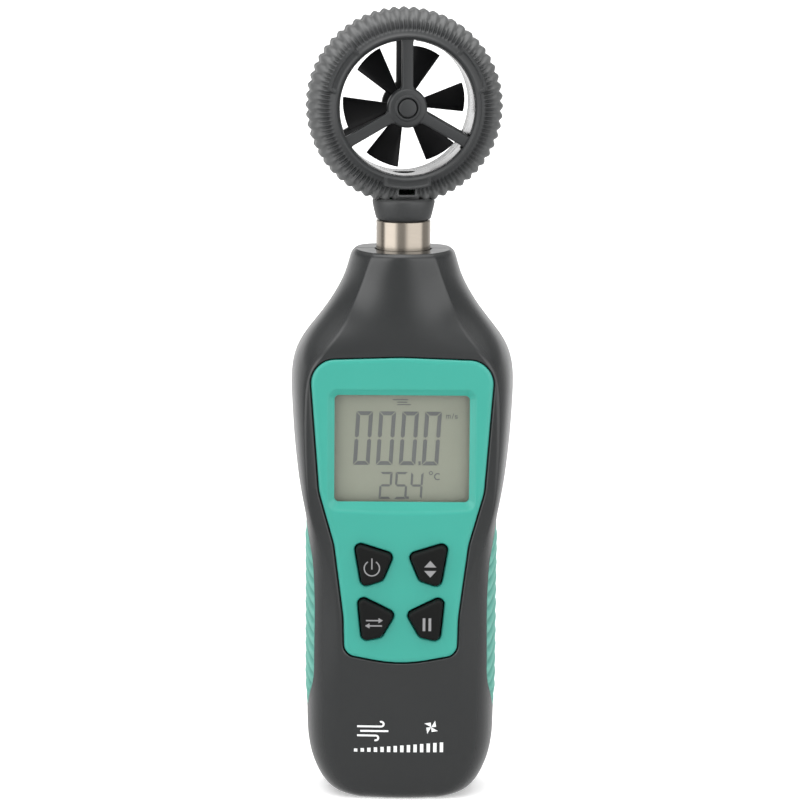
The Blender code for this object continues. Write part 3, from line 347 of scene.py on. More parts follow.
def loft(name, rings, place=None, closed=False):
    """A solid through rings of equally many points, capped at both ends or closed on itself."""
    count = len(rings[0])
    points = [tuple(point) for ring in rings for point in ring]
    pairs = list(zip(range(len(rings) - 1), range(1, len(rings))))
    if closed:
        pairs.append((len(rings) - 1, 0))
    faces = [
        (a * count + i, a * count + (i + 1) % count, b * count + (i + 1) % count, b * count + i)
        for a, b in pairs
        for i in range(count)
    ]
    if not closed:
        faces.append(tuple(range(count)))
        faces.append(tuple(range((len(rings) - 1) * count, len(rings) * count)))
    return mesh_object(name, points, faces, place)


def slab(name, steps, place=None):
    """Outlines of (x, z) points stacked along Y, as (outline, y) steps."""
    return loft(name, [[(x, y, z) for x, z in outline] for outline, y in steps], place)


def turned(name, profile, axis, centre=(0, 0, 0), steps=48, place=None, hollow=False):
    """A (radius, distance along the axis) profile turned about "Y" or "Z" through centre."""
    points, rows = [], []
    for radius, along in profile:
        row = []
        for i in range(steps if radius > 0 else 1):
            angle = 2 * math.pi * (i + 0.5) / steps
            a, b = radius * math.cos(angle), radius * math.sin(angle)
            spot = (a, along, b) if axis == "Y" else (a, b, along)
            row.append(len(points))
            points.append(tuple(spot[k] + centre[k] for k in range(3)))
        rows.append(row)
    pairs = list(zip(rows, rows[1:] + rows[:1])) if hollow else list(zip(rows, rows[1:]))
    faces = []
    for first, second in pairs:
        for i in range(steps):
            j = (i + 1) % steps
            near, far = (first[i % len(first)], first[j % len(first)]), (second[j % len(second)],
                                                                         second[i % len(second)])
            faces.append(tuple(dict.fromkeys(near + far)))
    for row in () if hollow else (rows[0], rows[-1]):
        if len(row) > 1:
            faces.append(tuple(row))
    return mesh_object(name, points, faces, place)


def rod(name, radius, span, axis, centre=(0, 0, 0), steps=32, place=None):
    return turned(name, ((radius, span[0]), (radius, span[1])), axis, centre, steps, place)


def combine(target, tools, how="DIFFERENCE"):
    """Cuts, joins or intersects target with the tools in one step, and deletes them."""
    tools = list(tools)
    step = target.modifiers.new("combine", "BOOLEAN")
    step.operation = how
    step.solver = "EXACT"
    group = None
    if len(tools) == 1:
        step.object = tools[0]
    else:
        group = bpy.data.collections.new("tools")
        bpy.context.scene.collection.children.link(group)
        for tool in tools:
            group.objects.link(tool)
        step.operand_type = "COLLECTION"
        step.collection = group
    bpy.context.view_layer.update()
    graph = bpy.context.evaluated_depsgraph_get()
    made = bpy.data.meshes.new_from_object(target.evaluated_get(graph))
    target.modifiers.clear()
    target.data = made
    for tool in tools:
        bpy.data.objects.remove(tool, do_unlink=True)
    if group:
        bpy.data.collections.remove(group)
    return target


def finish(piece, look, body, *nodes, slot=None, sharp=35, weighted=False):
    """Gives a piece its material and shading, and hangs it on a body in place of CAD nodes."""
    piece.data.materials.clear()
    for one in look if isinstance(look, (list, tuple)) else [look]:
        piece.data.materials.append(one)
    piece.data.shade_smooth()
    piece.data.set_sharp_from_angle(angle=math.radians(sharp))
    if weighted:
        piece.modifiers.new("even shading", "WEIGHTED_NORMAL").keep_sharp = True
    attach(piece, body)
    if nodes:
        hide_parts(*nodes)
    return piece


# ---------------------------------------------------------------- materials


def node(tree, kind, **settings):
    """A shader node whose inputs are set by name; a socket as a value is linked."""
    made = tree.nodes.new(kind)
    for key, value in settings.items():
        if hasattr(made, key):
            setattr(made, key, value)
            continue
        socket = made.inputs[key.replace("_", " ")]
        if isinstance(value, bpy.types.NodeSocket):
            tree.links.new(value, socket)
        else:
            socket.default_value = value
    return made


def object_coordinates(tree, stretch=(1, 1, 1)):
    place = node(tree, "ShaderNodeTexCoord").outputs["Object"]
    return node(tree, "ShaderNodeMapping", Vector=place, Scale=stretch).outputs["Vector"]


def noise(tree, size, detail=2.0, stretch=(1, 1, 1)):
    """Noise whose features are about size millimetres across."""
    where = object_coordinates(tree, stretch)
    return node(tree, "ShaderNodeTexNoise", Vector=where, Scale=1 / (size * MM), Detail=detail).outputs["Fac"]


def shade(colour, factor):
    return tuple(min(1.0, channel * factor) for channel in colour[:3]) + (1,)


def varied(tree, source, low, high):
    """The 0..1 source, spread between two numbers."""
    return node(tree, "ShaderNodeMapRange", Value=source, To_Min=low, To_Max=high).outputs["Result"]


def either(tree, factor, first, second):
    """The first colour where factor is 0, the second where it is 1: a socket, a colour or a grey value."""
    mix = node(tree, "ShaderNodeMix", data_type="RGBA")
    tree.links.new(factor, mix.inputs["Factor"])
    for key, value in (("A", first), ("B", second)):
        if isinstance(value, bpy.types.NodeSocket):
            tree.links.new(value, mix.inputs[key])
        else:
            mix.inputs[key].default_value = value if isinstance(value, tuple) else (value, value, value, 1)
    return mix.outputs["Result"]


def mottled(tree, source, colour, variation):
    """The colour, a little darker and lighter where the 0..1 source is low and high."""
    return either(tree, source, shade(colour, 1 - variation), shade(colour, 1 + variation))


def calculated(tree, operation, first, second):
    """The result of a sum on two inputs, each a socket or a number."""
    made = node(tree, "ShaderNodeMath", operation=operation)
    for socket, value in zip(made.inputs, (first, second)):
        if isinstance(value, bpy.types.NodeSocket):
            tree.links.new(value, socket)
        else:
            socket.default_value = value
    return made.outputs[0]


def new_material(name):
    made = bpy.data.materials.new(name)
    made.use_nodes = True
    return made, made.node_tree


def moulded(name, colour, roughness, grain=0.25, depth=0.004, variation=0.08, edge=0.2, specular=0.5,
            painted_highlight=None):
    """Moulded plastic or rubber: fine grain, slow changes of colour and gloss, softly rounded edges.

    A lighter colour, a painted highlight, shows where the mesh's highlight attribute is 1.
    """
    made, tree = new_material(name)
    surface = tree.nodes["Principled BSDF"]
    base = mottled(tree, noise(tree, 14), colour, variation)
    # Painted highlight: the mesh attribute mixes in the lighter colour.
    if painted_highlight:
        highlight_share = node(tree, "ShaderNodeAttribute", attribute_name="painted_highlight").outputs["Fac"]
        base = either(tree, highlight_share, base, painted_highlight)
    tree.links.new(base, surface.inputs["Base Color"])
    gloss = varied(tree, noise(tree, 6), roughness - 0.04, roughness + 0.04)
    tree.links.new(gloss, surface.inputs["Roughness"])
    soft = node(tree, "ShaderNodeBevel", samples=4, Radius=edge * MM).outputs["Normal"]
    fine = noise(tree, grain, 3)
    bump = node(tree, "ShaderNodeBump", Height=fine, Strength=0.6, Distance=depth * MM, Normal=soft)
    tree.links.new(bump.outputs["Normal"], surface.inputs["Normal"])
    surface.inputs["Specular IOR Level"].default_value = specular
    return made


def metal(name, colour, roughness, brush=(1, 1, 1), brush_size=0.4, depth=0.002, variation=0.06):
    """Turned or plated metal, its fine marks stretched along the brushing."""
    made, tree = new_material(name)
    surface = tree.nodes["Principled BSDF"]
    marks = noise(tree, brush_size, 4, brush)
    tree.links.new(mottled(tree, marks, colour, variation), surface.inputs["Base Color"])
    tree.links.new(varied(tree, marks, roughness * 0.8, roughness * 1.25), surface.inputs["Roughness"])
    bump = node(tree, "ShaderNodeBump", Height=marks, Strength=0.5, Distance=depth * MM)
    tree.links.new(bump.outputs["Normal"], surface.inputs["Normal"])
    surface.inputs["Metallic"].default_value = 1.0
    return made


def window_clear(name):
    """A clear plate: it lets light straight through and mirrors a little, more at a slant."""
    made, tree = new_material(name)
    tree.nodes.clear()
    clear = node(tree, "ShaderNodeBsdfTransparent", Color=(0.985, 0.99, 0.98, 1))
    smear = varied(tree, noise(tree, 9), 0.03, 0.07)
    mirror = node(tree, "ShaderNodeBsdfGlossy", Roughness=smear)
    slant = node(tree, "ShaderNodeLayerWeight", Blend=0.5).outputs["Facing"]
    head_on, grazing, sharpness = 0.0225, 0.9, 5.0
    mirrored_share = varied(tree, calculated(tree, "POWER", slant, sharpness), head_on, grazing)
    both = node(tree, "ShaderNodeMixShader")
    tree.links.new(mirrored_share, both.inputs[0])
    tree.links.new(clear.outputs["BSDF"], both.inputs[1])
    tree.links.new(mirror.outputs["BSDF"], both.inputs[2])
    output = node(tree, "ShaderNodeOutputMaterial")
    tree.links.new(both.outputs["Shader"], output.inputs["Surface"])
    return made


def circuit_board(name):
    """Green solder mask with copper tracks showing through as slightly paler lines."""
    mask, paler, track = (0.02, 0.14, 0.05, 1), (0.03, 0.17, 0.06, 1), (0.06, 0.27, 0.11, 1)
    made = moulded(name, mask, 0.35, grain=0.3, depth=0.002)
    tree = made.node_tree
    lines = node(tree, "ShaderNodeTexBrick", Vector=object_coordinates(tree), Scale=260.0, Color1=mask,
                 Color2=paler, Mortar=track, Mortar_Size=0.03)
    tree.links.new(lines.outputs["Color"], tree.nodes["Principled BSDF"].inputs["Base Color"])
    return made


def ink(name, colour, roughness, depth=0.002):
    """A printed layer, flat and even."""
    return moulded(name, colour, roughness, grain=0.2, depth=depth, edge=0.02)


def build_materials():
    return {
        "case": moulded("case plastic", (0.0185, 0.0198, 0.0202, 1), 0.24, grain=0.35, depth=0.002,
                        variation=0.04),
        # Its lighter second colour is a painted highlight on the ring's lip and rib crests.
        "head": moulded("head plastic", (0.0165, 0.0178, 0.0187, 1), 0.42, grain=0.3, depth=0.006,
                        variation=0.05, painted_highlight=(0.078, 0.08, 0.08, 1)),
        "panel": moulded("panel plastic", (0.0295, 0.305, 0.243, 1), 0.36, grain=0.3, depth=0.003,
                         variation=0.03),
        # Its lighter second colour is a painted highlight on the ridges' crests.
        "grip": moulded("grip rubber", (0.075, 0.275, 0.225, 1), 0.5, depth=0.006, variation=0.05,
                        painted_highlight=(0.125, 0.37, 0.305, 1)),
        "key": moulded("key rubber", (0.005, 0.0055, 0.0052, 1), 0.55, depth=0.006, specular=0.15),
        "legend": ink("legend ink", (0.23, 0.23, 0.235, 1), 0.6),
        "print": ink("white ink", (0.8, 0.81, 0.81, 1), 0.5),
        "segment": ink("display segment", (0.115, 0.118, 0.122, 1), 0.5, depth=0.001),
        "black_plastic": moulded("black plastic", (0.003, 0.003, 0.0035, 1), 0.45, grain=0.3,
                                 specular=0.18),
        "dark_window": moulded("painted shade black", (0.002, 0.002, 0.002, 1), 0.9, grain=0.3, depth=0.002,
                               # Painted shade: black that mirrors nothing, for the pickup slot.
                               specular=0.0),
        "black_rubber": moulded("black rubber", (0.015, 0.015, 0.015, 1), 0.7, grain=0.2, depth=0.01),
        "window": window_clear("window"),
        "glass": moulded("display glass", (0.25, 0.259, 0.214, 1), 0.45, grain=0.12, depth=0.003,
                         variation=0.03, edge=0.05),
        "diffuser": moulded("diffuser", (0.8, 0.8, 0.78, 1), 0.4, grain=0.4, depth=0.002, variation=0.02),
        "board": circuit_board("circuit board"),
        "cell": moulded("cell sleeve", (0.05, 0.055, 0.06, 1), 0.25, grain=0.5, depth=0.002),
        "band": moulded("cell band", (0.62, 0.33, 0.12, 1), 0.25, grain=0.5, depth=0.002),
        "steel": metal("steel", (0.6, 0.6, 0.6, 1), 0.3),
        "nickel": metal("nickel", (0.375, 0.333, 0.282, 1), 0.2, brush=(0.15, 0.15, 6), brush_size=0.8,
                        variation=0.1),
        "bright_metal": metal("bright metal", (0.5, 0.5, 0.5, 1), 0.25, brush=(0.2, 6, 0.2),
                              brush_size=0.8, variation=0.12),
        "brass": metal("brass", (0.72, 0.55, 0.25, 1), 0.3),
    }


# ---------------------------------------------------------------- case


def front_half(z, inset, side_steps=20, face_steps=14):
    """The front half of the case's outline at height z, from the +X seam edge to the -X one, as (x, y)."""
    half = side_at(z) - inset
    front = front_at(z) - inset
    crown = crown_at(z)
    crease = min(crease_at(z), half - LEAST_SIDE)
    seam = SEAM_Y - GAP / 2
    corner = Vector((half - SIDE_LEAN, crown + drop_at(z) - front))
    edge = Vector((crease, crown - front))
    slant = (edge - corner).normalized()
    reach = min(CREASE_ROUND, 0.4 * (edge - corner).length)
    before = edge - slant * reach
    inner = crease - reach
    across = Vector((inner, crown * (inner / crease) ** 2 - front))
    right = [(half - SEAM_BEVEL, seam)]
    right += bezier((half, seam - SEAM_BEVEL), corner, before, side_steps)
    right += bezier(before, edge, across, 5)[1:-1]
    face = []
    for k in range(face_steps + 1):
        x = inner * (1 - 2 * k / face_steps)
        face.append((x, crown * (x / crease) ** 2 - front))
    return right + face + [(-x, y) for x, y in reversed(right)]


def back_half(z, inset, side_steps=20, face_steps=8):
    """The back half of the outline, from the -X seam edge to the +X one."""
    half = side_at(z) - inset
    back = back_at(z) - inset
    flat = min(flat_at(z), half - LEAST_SIDE)
    seam = SEAM_Y + GAP / 2
    left = [(SEAM_BEVEL - half, seam)]
    left += bezier((-half, seam + SEAM_BEVEL), (-half, back), (-flat, back), side_steps)
    face = [(-flat + 2 * flat * k / face_steps, back) for k in range(1, face_steps)]
    return left + face + [(-x, y) for x, y in reversed(left)]


def levels(low, high, step=LEVEL_STEP):
    """Heights between two, closer together near the case's rounded foot and top."""
    heights = [low]
    while heights[-1] < high - 0.3:
        z = heights[-1]
        near_end = LEVEL_STEP_END * (1 + min(z, CASE_HEIGHT - z))
        heights.append(min(high, z + min(step, near_end)))
    return heights


def half_blank(name, outline):
    return loft(name, [[(x, y, z) for x, y in outline(z, 0.0)] for z in levels(0.0, CASE_HEIGHT)])


def case_blank(name, inset, low, high, step=6.0, fine=False):
    """A closed solid of the case's outer shape moved in by inset, between two heights."""
    sizes = FINE_STEPS if fine else COARSE_STEPS
    rings = []
    for z in levels(low, high, step):
        front = front_half(z, inset, sizes[0], sizes[1])[1:-1]
        back = back_half(z, inset, sizes[2], sizes[3])[1:-1]
        rings.append([(x, y, z) for x, y in front + back])
    return loft(name, rings)


def screw_places(prefix, count):
    """(x, z) of each screw, from the CAD nodes' boxes."""
    places = []
    for i in range(count):
        low, high = node_box(f"{prefix}_{i + 1}")
        places.append(((low.x + high.x) / 2, (low.z + high.z) / 2))
    return places


def grip_block(name, side, grow):
    """A block through the side of the case with the grips' outline."""
    outline = grown(rounded_outline(GRIP_CORNERS, 8), grow)
    return loft(name, [[(side * x, y, z) for y, z in outline] for x in GRIP_BLOCK_X])


def grip_recesses(tag):
    """Cutters for the pockets that the grips sit in."""
    recesses = []
    for side in (-1, 1):
        recess = grip_block(f"{tag}_grip_{side}", side, GAP)
        floor = case_blank(f"{tag}_floor_{side}", GRIP_FLOOR, *GRIP_TRIM_Z, step=LEVEL_STEP, fine=True)
        recesses.append(combine(recess, [floor]))
    return recesses


def posts(places, radius, y_range):
    """Screw bosses along Y, trimmed half-way through the case's wall."""
    made = []
    for i, (x, z) in enumerate(places):
        trim = case_blank("trim", WALL / 2, WALL / 2, CASE_HEIGHT - WALL / 2)
        made.append(combine(rod(f"post_{i}", radius, y_range, "Y", (x, 0, z), 24), [trim], "INTERSECT"))
    return made


def flared(name, outline, front, back, flare=0.28):
    """A cutter along Y whose rim opens out towards the front, which rounds the edge that it leaves."""
    steps = [(grown(outline, flare + 1), front - 1)]
    for k in range(4):
        angle = math.radians(90 * k / 3)
        steps.append((grown(outline, flare * (1 - math.sin(angle))), front + flare * (1 - math.cos(angle))))
    steps.append((outline, back))
    return slab(name, steps)


def hollow_out(shell):
    """Leaves the case's wall and the web that holds the tube."""
    combine(shell, [case_blank("hollow", WALL, WALL, WEB_Z[0]),
                    case_blank("neck_hollow", WALL, WEB_Z[1], CASE_HEIGHT - WALL)])


def neck_bore():
    """The hole that the tube turns in, with a rounded rim."""
    radius = node_box("neck_tube")[1].x + GAP
    top = CASE_HEIGHT
    profile = ((radius, 105), (radius, top - 0.3), (radius + 0.1, top - 0.1), (radius + 0.4, top),
               (radius + 1, top + 2))
    return turned("neck_bore", profile, "Z", steps=72)


def build_front_shell(looks):
    shell = half_blank("front_case", front_half)
    case_screws, board_screws = screw_places("case_screw", 4), screw_places("board_screw", 4)
    board_front, key_hole_back = node_box("main_board")[0].y, -8
    hollow_out(shell)
    bosses = posts(case_screws, BOSS_RADIUS, (CUT_FRONT, SEAM_Y - GAP / 2))
    bosses += posts(board_screws, BOARD_BOSS_RADIUS, (CUT_FRONT, board_front - GAP))
    combine(shell, bosses, "UNION")
    panel_outline = grown(rounded_outline(mirrored(PANEL_CORNERS), 4), GAP)
    cutters = [flared("panel_recess", panel_outline, -FACE_Y, panel_high.y + GAP - 0.02, 0.35)]
    window_low, window_high = node_box("lcd_window")
    opening = rectangle(window_high.x + GAP, (window_low.z - GAP, window_high.z + GAP), 1.0)
    cutters.append(slab("display_hole", ((opening, CUT_FRONT), (opening, key_hole_back))))
    for name, (corners, mirror, body) in KEYS.items():
        hole = grown(key_outline(corners, mirror), GAP)
        cutters.append(slab(f"{name}_hole", ((hole, CUT_FRONT), (hole, key_hole_back))))
    for i, (x, z) in enumerate(case_screws):
        cutters.append(rod(f"bore_{i}", SCREW_BORE, (-9, 5), "Y", (x, 0, z), 20))
    for i, (x, z) in enumerate(board_screws):
        cutters.append(rod(f"hole_{i}", BOARD_BORE, (-12, 0), "Y", (x, 0, z), 20))
    cutters.append(neck_bore())
    cutters += grip_recesses("front")
    combine(shell, cutters)
    return finish(shell, looks["case"], "case", "front_shell", slot="case_plastic", weighted=True)


def build_rear_shell(looks):
    shell = half_blank("rear_case", back_half)
    case_screws = screw_places("case_screw", 4)
    hollow_out(shell)
    bay = box("bay_block", (-BAY_X - BAY_WALL, BAY_FLOOR_Y - BAY_WALL, BAY_Z[0] - BAY_WALL),
              (BAY_X + BAY_WALL, 20, BAY_Z[1] + BAY_WALL))
    combine(bay, [case_blank("bay_trim", WALL / 2, WALL, CASE_HEIGHT - WALL)], "INTERSECT")
    combine(shell, posts(case_screws, REAR_BOSS_RADIUS, (SEAM_Y + GAP / 2, 20)) + [bay], "UNION")
    recess_outline = grown(rectangle(COVER_X, COVER_Z, COVER_ROUND, 6), GAP)
    recess = slab("cover_recess", ((recess_outline, COVER_CUT_Y), (recess_outline, CUT_BACK)))
    inside_cover = case_blank("cover_floor", COVER_THICK + GAP, *COVER_TRIM_Z, step=LEVEL_STEP, fine=True)
    combine(recess, [inside_cover])
    hollow = rectangle(BAY_X, BAY_Z, 0.8)
    cutters = [recess, slab("bay_hollow", ((hollow, BAY_FLOOR_Y), (hollow, CUT_BACK))), neck_bore()]
    for i, (x, z) in enumerate(case_screws):
        cutters.append(rod(f"bore_{i}", SCREW_BORE, (-5, 20), "Y", (x, 0, z), 20))
        cutters.append(rod(f"counterbore_{i}", SCREW_SEAT, (SCREW_SEAT_Y, 20), "Y", (x, 0, z), 40))
    cutters += grip_recesses("rear")
    combine(shell, cutters)
    return finish(shell, looks["case"], "case", "rear_shell", slot="case_plastic", weighted=True)


def build_seam_strip(looks):
    """The tongue inside the seam between the case's halves: a strip that follows the sides and the foot."""
    heights = levels(0.0, CASE_HEIGHT)
    sides = [(side_at(z), z) for z in reversed(heights)] + [(-side_at(z), z) for z in heights]
    outer, inner = grown(sides, -STRIP_DEPTHS[0]), grown(sides, -STRIP_DEPTHS[1])
    front, back = SEAM_Y - GAP / 2, SEAM_Y + GAP / 2
    rings = []
    for (ox, oz), (ix, iz) in zip(outer, inner):
        rings.append([(ox, front, oz), (ox, back, oz), (ix, back, iz), (ix, front, iz)])
    finish(loft("seam_tongue", rings), looks["black_plastic"], "case")


def build_panel(looks):
    """The green panel: rounded rim, sloping frame round the display, softened key holes."""
    outline = rounded_outline(mirrored(PANEL_CORNERS), 4)
    front, back = panel_low.y, panel_high.y
    steps = [(outline, back), (outline, front + PANEL_RIM_DEPTH)]
    for k in range(1, 8):
        angle = math.radians(90 * k / 7)
        across = PANEL_RIM * (1 - math.cos(angle))
        steps.append((grown(outline, -across), front + PANEL_RIM_DEPTH * (1 - math.sin(angle))))
    panel = slab("green_panel", steps)

    def frame_at(share, grow=0.0):
        low = LCD_Z[0] - LCD_BEVEL_FOOT * share - grow
        high = LCD_Z[1] + LCD_BEVEL_TOP * share + grow
        half = LCD_X + LCD_BEVEL_SIDE * share + grow
        return bowed_frame(half, low, high, 1.0 + 1.2 * share, LCD_FOOT_BOW * share)

    slope = [(frame_at(1, 1.2), front - 1), (frame_at(1, 0.3), front)]
    for share, deep in ((1, 0.05), (0.9, 0.14), (0.78, 0.3), (0.66, 0.5), (0.05, 1.1), (0, 1.2)):
        slope.append((frame_at(share), front + deep * LCD_BEVEL_DEPTH / 1.2))
    slope.append((frame_at(0), front + 4))
    cutters = [slab("display_frame", slope)]
    for name, (corners, mirror, body) in KEYS.items():
        well = grown(key_outline(corners, mirror), GAP)
        cutters.append(flared(f"{name}_well", well, front, -5, 0.35))
    combine(panel, cutters)
    return finish(panel, looks["panel"], "case", "front_panel", slot="panel_plastic", weighted=True)


def distance_inside(outline, spot):
    """How far a (y, z) spot is inside a closed outline, negative outside."""
    y, z = spot
    inside, nearest = False, 1e9
    for (ay, az), (by, bz) in zip(outline, outline[1:] + outline[:1]):
        if (az > z) != (bz > z) and y < ay + (z - az) * (by - ay) / (bz - az):
            inside = not inside
        length = (by - ay) ** 2 + (bz - az) ** 2
        along = (y - ay) * (by - ay) + (z - az) * (bz - az)
        t = max(0.0, min(1.0, along / length)) if length else 0.0
        nearest = min(nearest, math.hypot(y - ay - t * (by - ay), z - az - t * (bz - az)))
    return nearest if inside else -nearest


def ridge_at(y, z):
    """How high the grips' ridges stand at a place: 1 on a crest, 0 in a groove.

    They run level near the seam and slant further out.
    """
    ahead = SEAM_Y - y
    slanting = math.copysign(max(0.0, abs(ahead) - RIDGE_LEVEL), ahead)
    return abs(math.sin(math.pi * (z + RIDGE_SLOPE * slanting) / RIDGE_PITCH)) ** 0.85


def grip_ring(z, side, outline, ends):
    """One ring of the ridged grip skin on one side of the case, closed behind by a plain inner face."""
    front, back = front_half(z, 0.0, GRIP_POINTS, 2), back_half(z, 0.0, GRIP_POINTS, 2)
    count = GRIP_POINTS + 1
    right = list(reversed(front[1:count])) + [(-x, y) for x, y in back[1:count]]
    rise = smooth_step(ends[0], ends[0] + GRIP_FADE_FOOT, z)
    middle = rise * (1 - smooth_step(ends[1] - GRIP_FADE_TOP, ends[1], z))
    outer = []
    for i, (x, y) in enumerate(right):
        ahead, behind = right[min(i + 1, len(right) - 1)], right[max(i - 1, 0)]
        along = Vector((ahead[0] - behind[0], ahead[1] - behind[1])).normalized()
        rim = smooth_step(*GRIP_RIM, distance_inside(outline, (y, z)))
        ridge = RIDGE_HEIGHT * (0.4 + 0.6 * middle) * (ridge_at(y, z) - 0.8)
        lift = rim * (GRIP_PROUD * middle + ridge) - GRIP_SINK * (1 - rim)
        outer.append((x + along.y * lift, y - along.x * lift))
    front, back = front_half(z, GRIP_INSET, 6, 2), back_half(z, GRIP_INSET, 6, 2)
    inner = [(abs(x), y) for x, y in back[1:7]][::-1] + [(x, y) for x, y in front[1:7]]
    return [(side * x, y, z) for x, y in outer + inner]


def build_grips(looks):
    """The side grips: soft ridges with a painted highlight on their crests, that sink at the rim."""
    outline = rounded_outline(GRIP_CORNERS, 8)
    low, high = min(z for y, z in outline), max(z for y, z in outline)
    heights = [low - 0.5 + (high - low + 1) * k / GRIP_LEVELS for k in range(GRIP_LEVELS + 1)]
    for name, side in (("grip_left", -1), ("grip_right", 1)):
        skin = loft(f"{name}_skin", [grip_ring(z, side, outline, (low, high)) for z in heights])
        combine(skin, [grip_block(f"{name}_block", side, 0)], "INTERSECT")
        # Painted highlight: the crests get the grip's lighter colour.
        painted_highlight = skin.data.attributes.new("painted_highlight", "FLOAT", "POINT")
        for i, corner in enumerate(skin.data.vertices):
            crest = ridge_at(corner.co.y / MM, corner.co.z / MM)
            painted_highlight.data[i].value = smooth_step(0.4, 0.95, crest)
        finish(skin, looks["grip"], "case", name, slot="grip_rubber", sharp=50)


def build_battery_cover(looks):
    outline = rectangle(COVER_X, COVER_Z, COVER_ROUND, 6)
    cover = slab("cover_plate", ((outline, COVER_CUT_Y), (outline, CUT_BACK)))
    face = case_blank("cover_face", 0, *COVER_TRIM_Z, step=LEVEL_STEP, fine=True)
    combine(cover, [face], "INTERSECT")
    combine(cover, [case_blank("cover_back", COVER_THICK, *COVER_TRIM_Z, step=LEVEL_STEP, fine=True)])
    ribs = []
    for i in range(COVER_RIBS):
        z = COVER_Z[1] - 5.0 - COVER_RIB_PITCH * i
        rib = rectangle(7.5 - 0.35 * i, (z - COVER_RIB_HALF, z + COVER_RIB_HALF), 0.39, 15)
        top = BACK_Y + 0.1
        steps = ((rib, BACK_Y - 0.5), (rib, top), (grown(rib, -0.2), top + 0.25))
        ribs.append(slab(f"rib_{i}", steps))
    combine(cover, ribs, "UNION")
    slot = rectangle(4.0, (COVER_Z[1] - 1.6, COVER_Z[1] + 2), 1.2, 15)
    combine(cover, [slab("latch_notch", ((slot, BACK_Y - 0.7), (slot, BACK_Y + 3)))])
    finish(cover, looks["case"], "cover", "battery_cover", slot="case_plastic", weighted=True)


# ---------------------------------------------------------------- keys and display


def strokes(name, shapes, y, thick=0.05):
    """Flat printed shapes, as (x, z) outlines, at depth y or on a surface that y(x, z) gives."""
    points, faces = [], []
    for outline in shapes:
        start, count = len(points), len(outline)
        fronts = [y(x, z) if callable(y) else y for x, z in outline]
        points += [(x, deep, z) for (x, z), deep in zip(outline, fronts)]
        points += [(x, deep + thick, z) for (x, z), deep in zip(outline, fronts)]
        faces.append(tuple(range(start, start + count)))
        faces.append(tuple(range(start + count, start + 2 * count)))
        for i in range(count):
            j = (i + 1) % count
            faces.append((start + i, start + j, start + count + j, start + count + i))
    return mesh_object(name, points, faces)


def arc_stroke(centre, radius, width, start, end, steps=24):
    outer, inner = [], []
    for k in range(steps + 1):
        angle = math.radians(start + (end - start) * k / steps)
        outer.append((centre[0] + (radius + width / 2) * math.cos(angle),
                      centre[1] + (radius + width / 2) * math.sin(angle)))
        inner.append((centre[0] + (radius - width / 2) * math.cos(angle),
                      centre[1] + (radius - width / 2) * math.sin(angle)))
    return outer + inner[::-1]


def bar(x, z, width, height):
    return [(x - width / 2, z - height / 2), (x + width / 2, z - height / 2),
            (x + width / 2, z + height / 2), (x - width / 2, z + height / 2)]


def triangle(x, z, width, height):
    return [(x - width / 2, z), (x + width / 2, z), (x, z + height)]


KEY_SYMBOL_PLACES = {"key_power": (-6.5, 53.6), "key_peak": (6.5, 53.5), "key_unit": (-5.95, 41.15),
                     "key_hold": (5.85, 40.9)}


def key_symbol(name):
    """Generic symbols: on/off, highest and lowest, change of unit, and hold."""
    x, z = KEY_SYMBOL_PLACES[name]
    if name == "key_power":
        return [arc_stroke((x, z), 1.7, 0.28, 122, 418, 40), bar(x, z + 1.0, 0.28, 2.5)]
    if name == "key_peak":
        return [triangle(x, z + 0.4, 2.7, 1.5), triangle(x, z - 0.4, 2.7, -1.5)]
    if name == "key_unit":
        arrows = []
        for way in (1, -1):
            tip, level = x + 2.0 * way, z + 0.6 * way
            arrows.append(bar(x - 0.4 * way, level, 2.8, 0.3))
            arrows.append([(tip - way, level - 0.6), (tip, level), (tip - way, level + 0.6)])
        return arrows
    return [bar(x - 0.65, z, 0.6, 2.9), bar(x + 0.65, z, 0.6, 2.9)]


def build_keys(looks):
    for name, (corners, mirror, body) in KEYS.items():
        low, high = node_box(name)
        outline = key_outline(corners, mirror)
        flange, (flange_front, flange_back) = grown(outline, KEY_FLANGE), KEY_FLANGE_Y
        steps = [(outline, high.y), (outline, flange_back), (flange, flange_back), (flange, flange_front),
                 (outline, flange_front), (outline, low.y + KEY_ROUND_OVER)]
        for k in range(1, 7):
            angle = math.radians(90 * k / 6)
            steps.append((grown(outline, -KEY_ROUND_OVER * (1 - math.cos(angle))),
                          low.y + KEY_ROUND_OVER * (1 - math.sin(angle))))
        finish(slab(f"{name}_cap", steps), looks["key"], body, name, slot="key_rubber", sharp=50)
        symbol = strokes(f"{name}_symbol", key_symbol(name), low.y - PRINT_PROUD)
        finish(symbol, looks["legend"], body)


SEGMENTS = {"0": "abcdef", "2": "abged", "4": "fgbc", "5": "afgcd", "C": "afed"}


def digit(character, left, foot, width, height, thick, slant):
    """Outlines of a seven-segment digit: mitred bars, a little apart."""
    gap = thick * 0.14
    top, middle, right = foot + height, foot + height / 2, left + width

    def level(edge, inwards):
        inner = edge + inwards * thick
        return [(left + gap, edge), (right - gap, edge), (right - thick - gap, inner),
                (left + thick + gap, inner)]

    def upright(edge, inwards, outer_end, inner_end):
        step = thick if outer_end > inner_end else -thick
        back_off = gap if outer_end > inner_end else -gap
        inner = edge + inwards * thick
        return [(edge, outer_end - back_off), (inner, outer_end - step - back_off),
                (inner, inner_end + step * 0.55), (edge + inwards * thick / 2, inner_end + back_off),
                (edge, inner_end + step * 0.5)]

    half = thick / 2
    bars = {
        "a": level(top, -1), "d": level(foot, 1),
        "g": [(left + half + gap, middle), (left + thick + gap, middle + half),
              (right - thick - gap, middle + half), (right - half - gap, middle),
              (right - thick - gap, middle - half), (left + thick + gap, middle - half)],
        "f": upright(left, 1, top, middle), "b": upright(right, -1, top, middle),
        "e": upright(left, 1, foot, middle), "c": upright(right, -1, foot, middle),
    }
    return [[(x + (z - foot) * slant, z) for x, z in bars[mark]] for mark in SEGMENTS[character]]


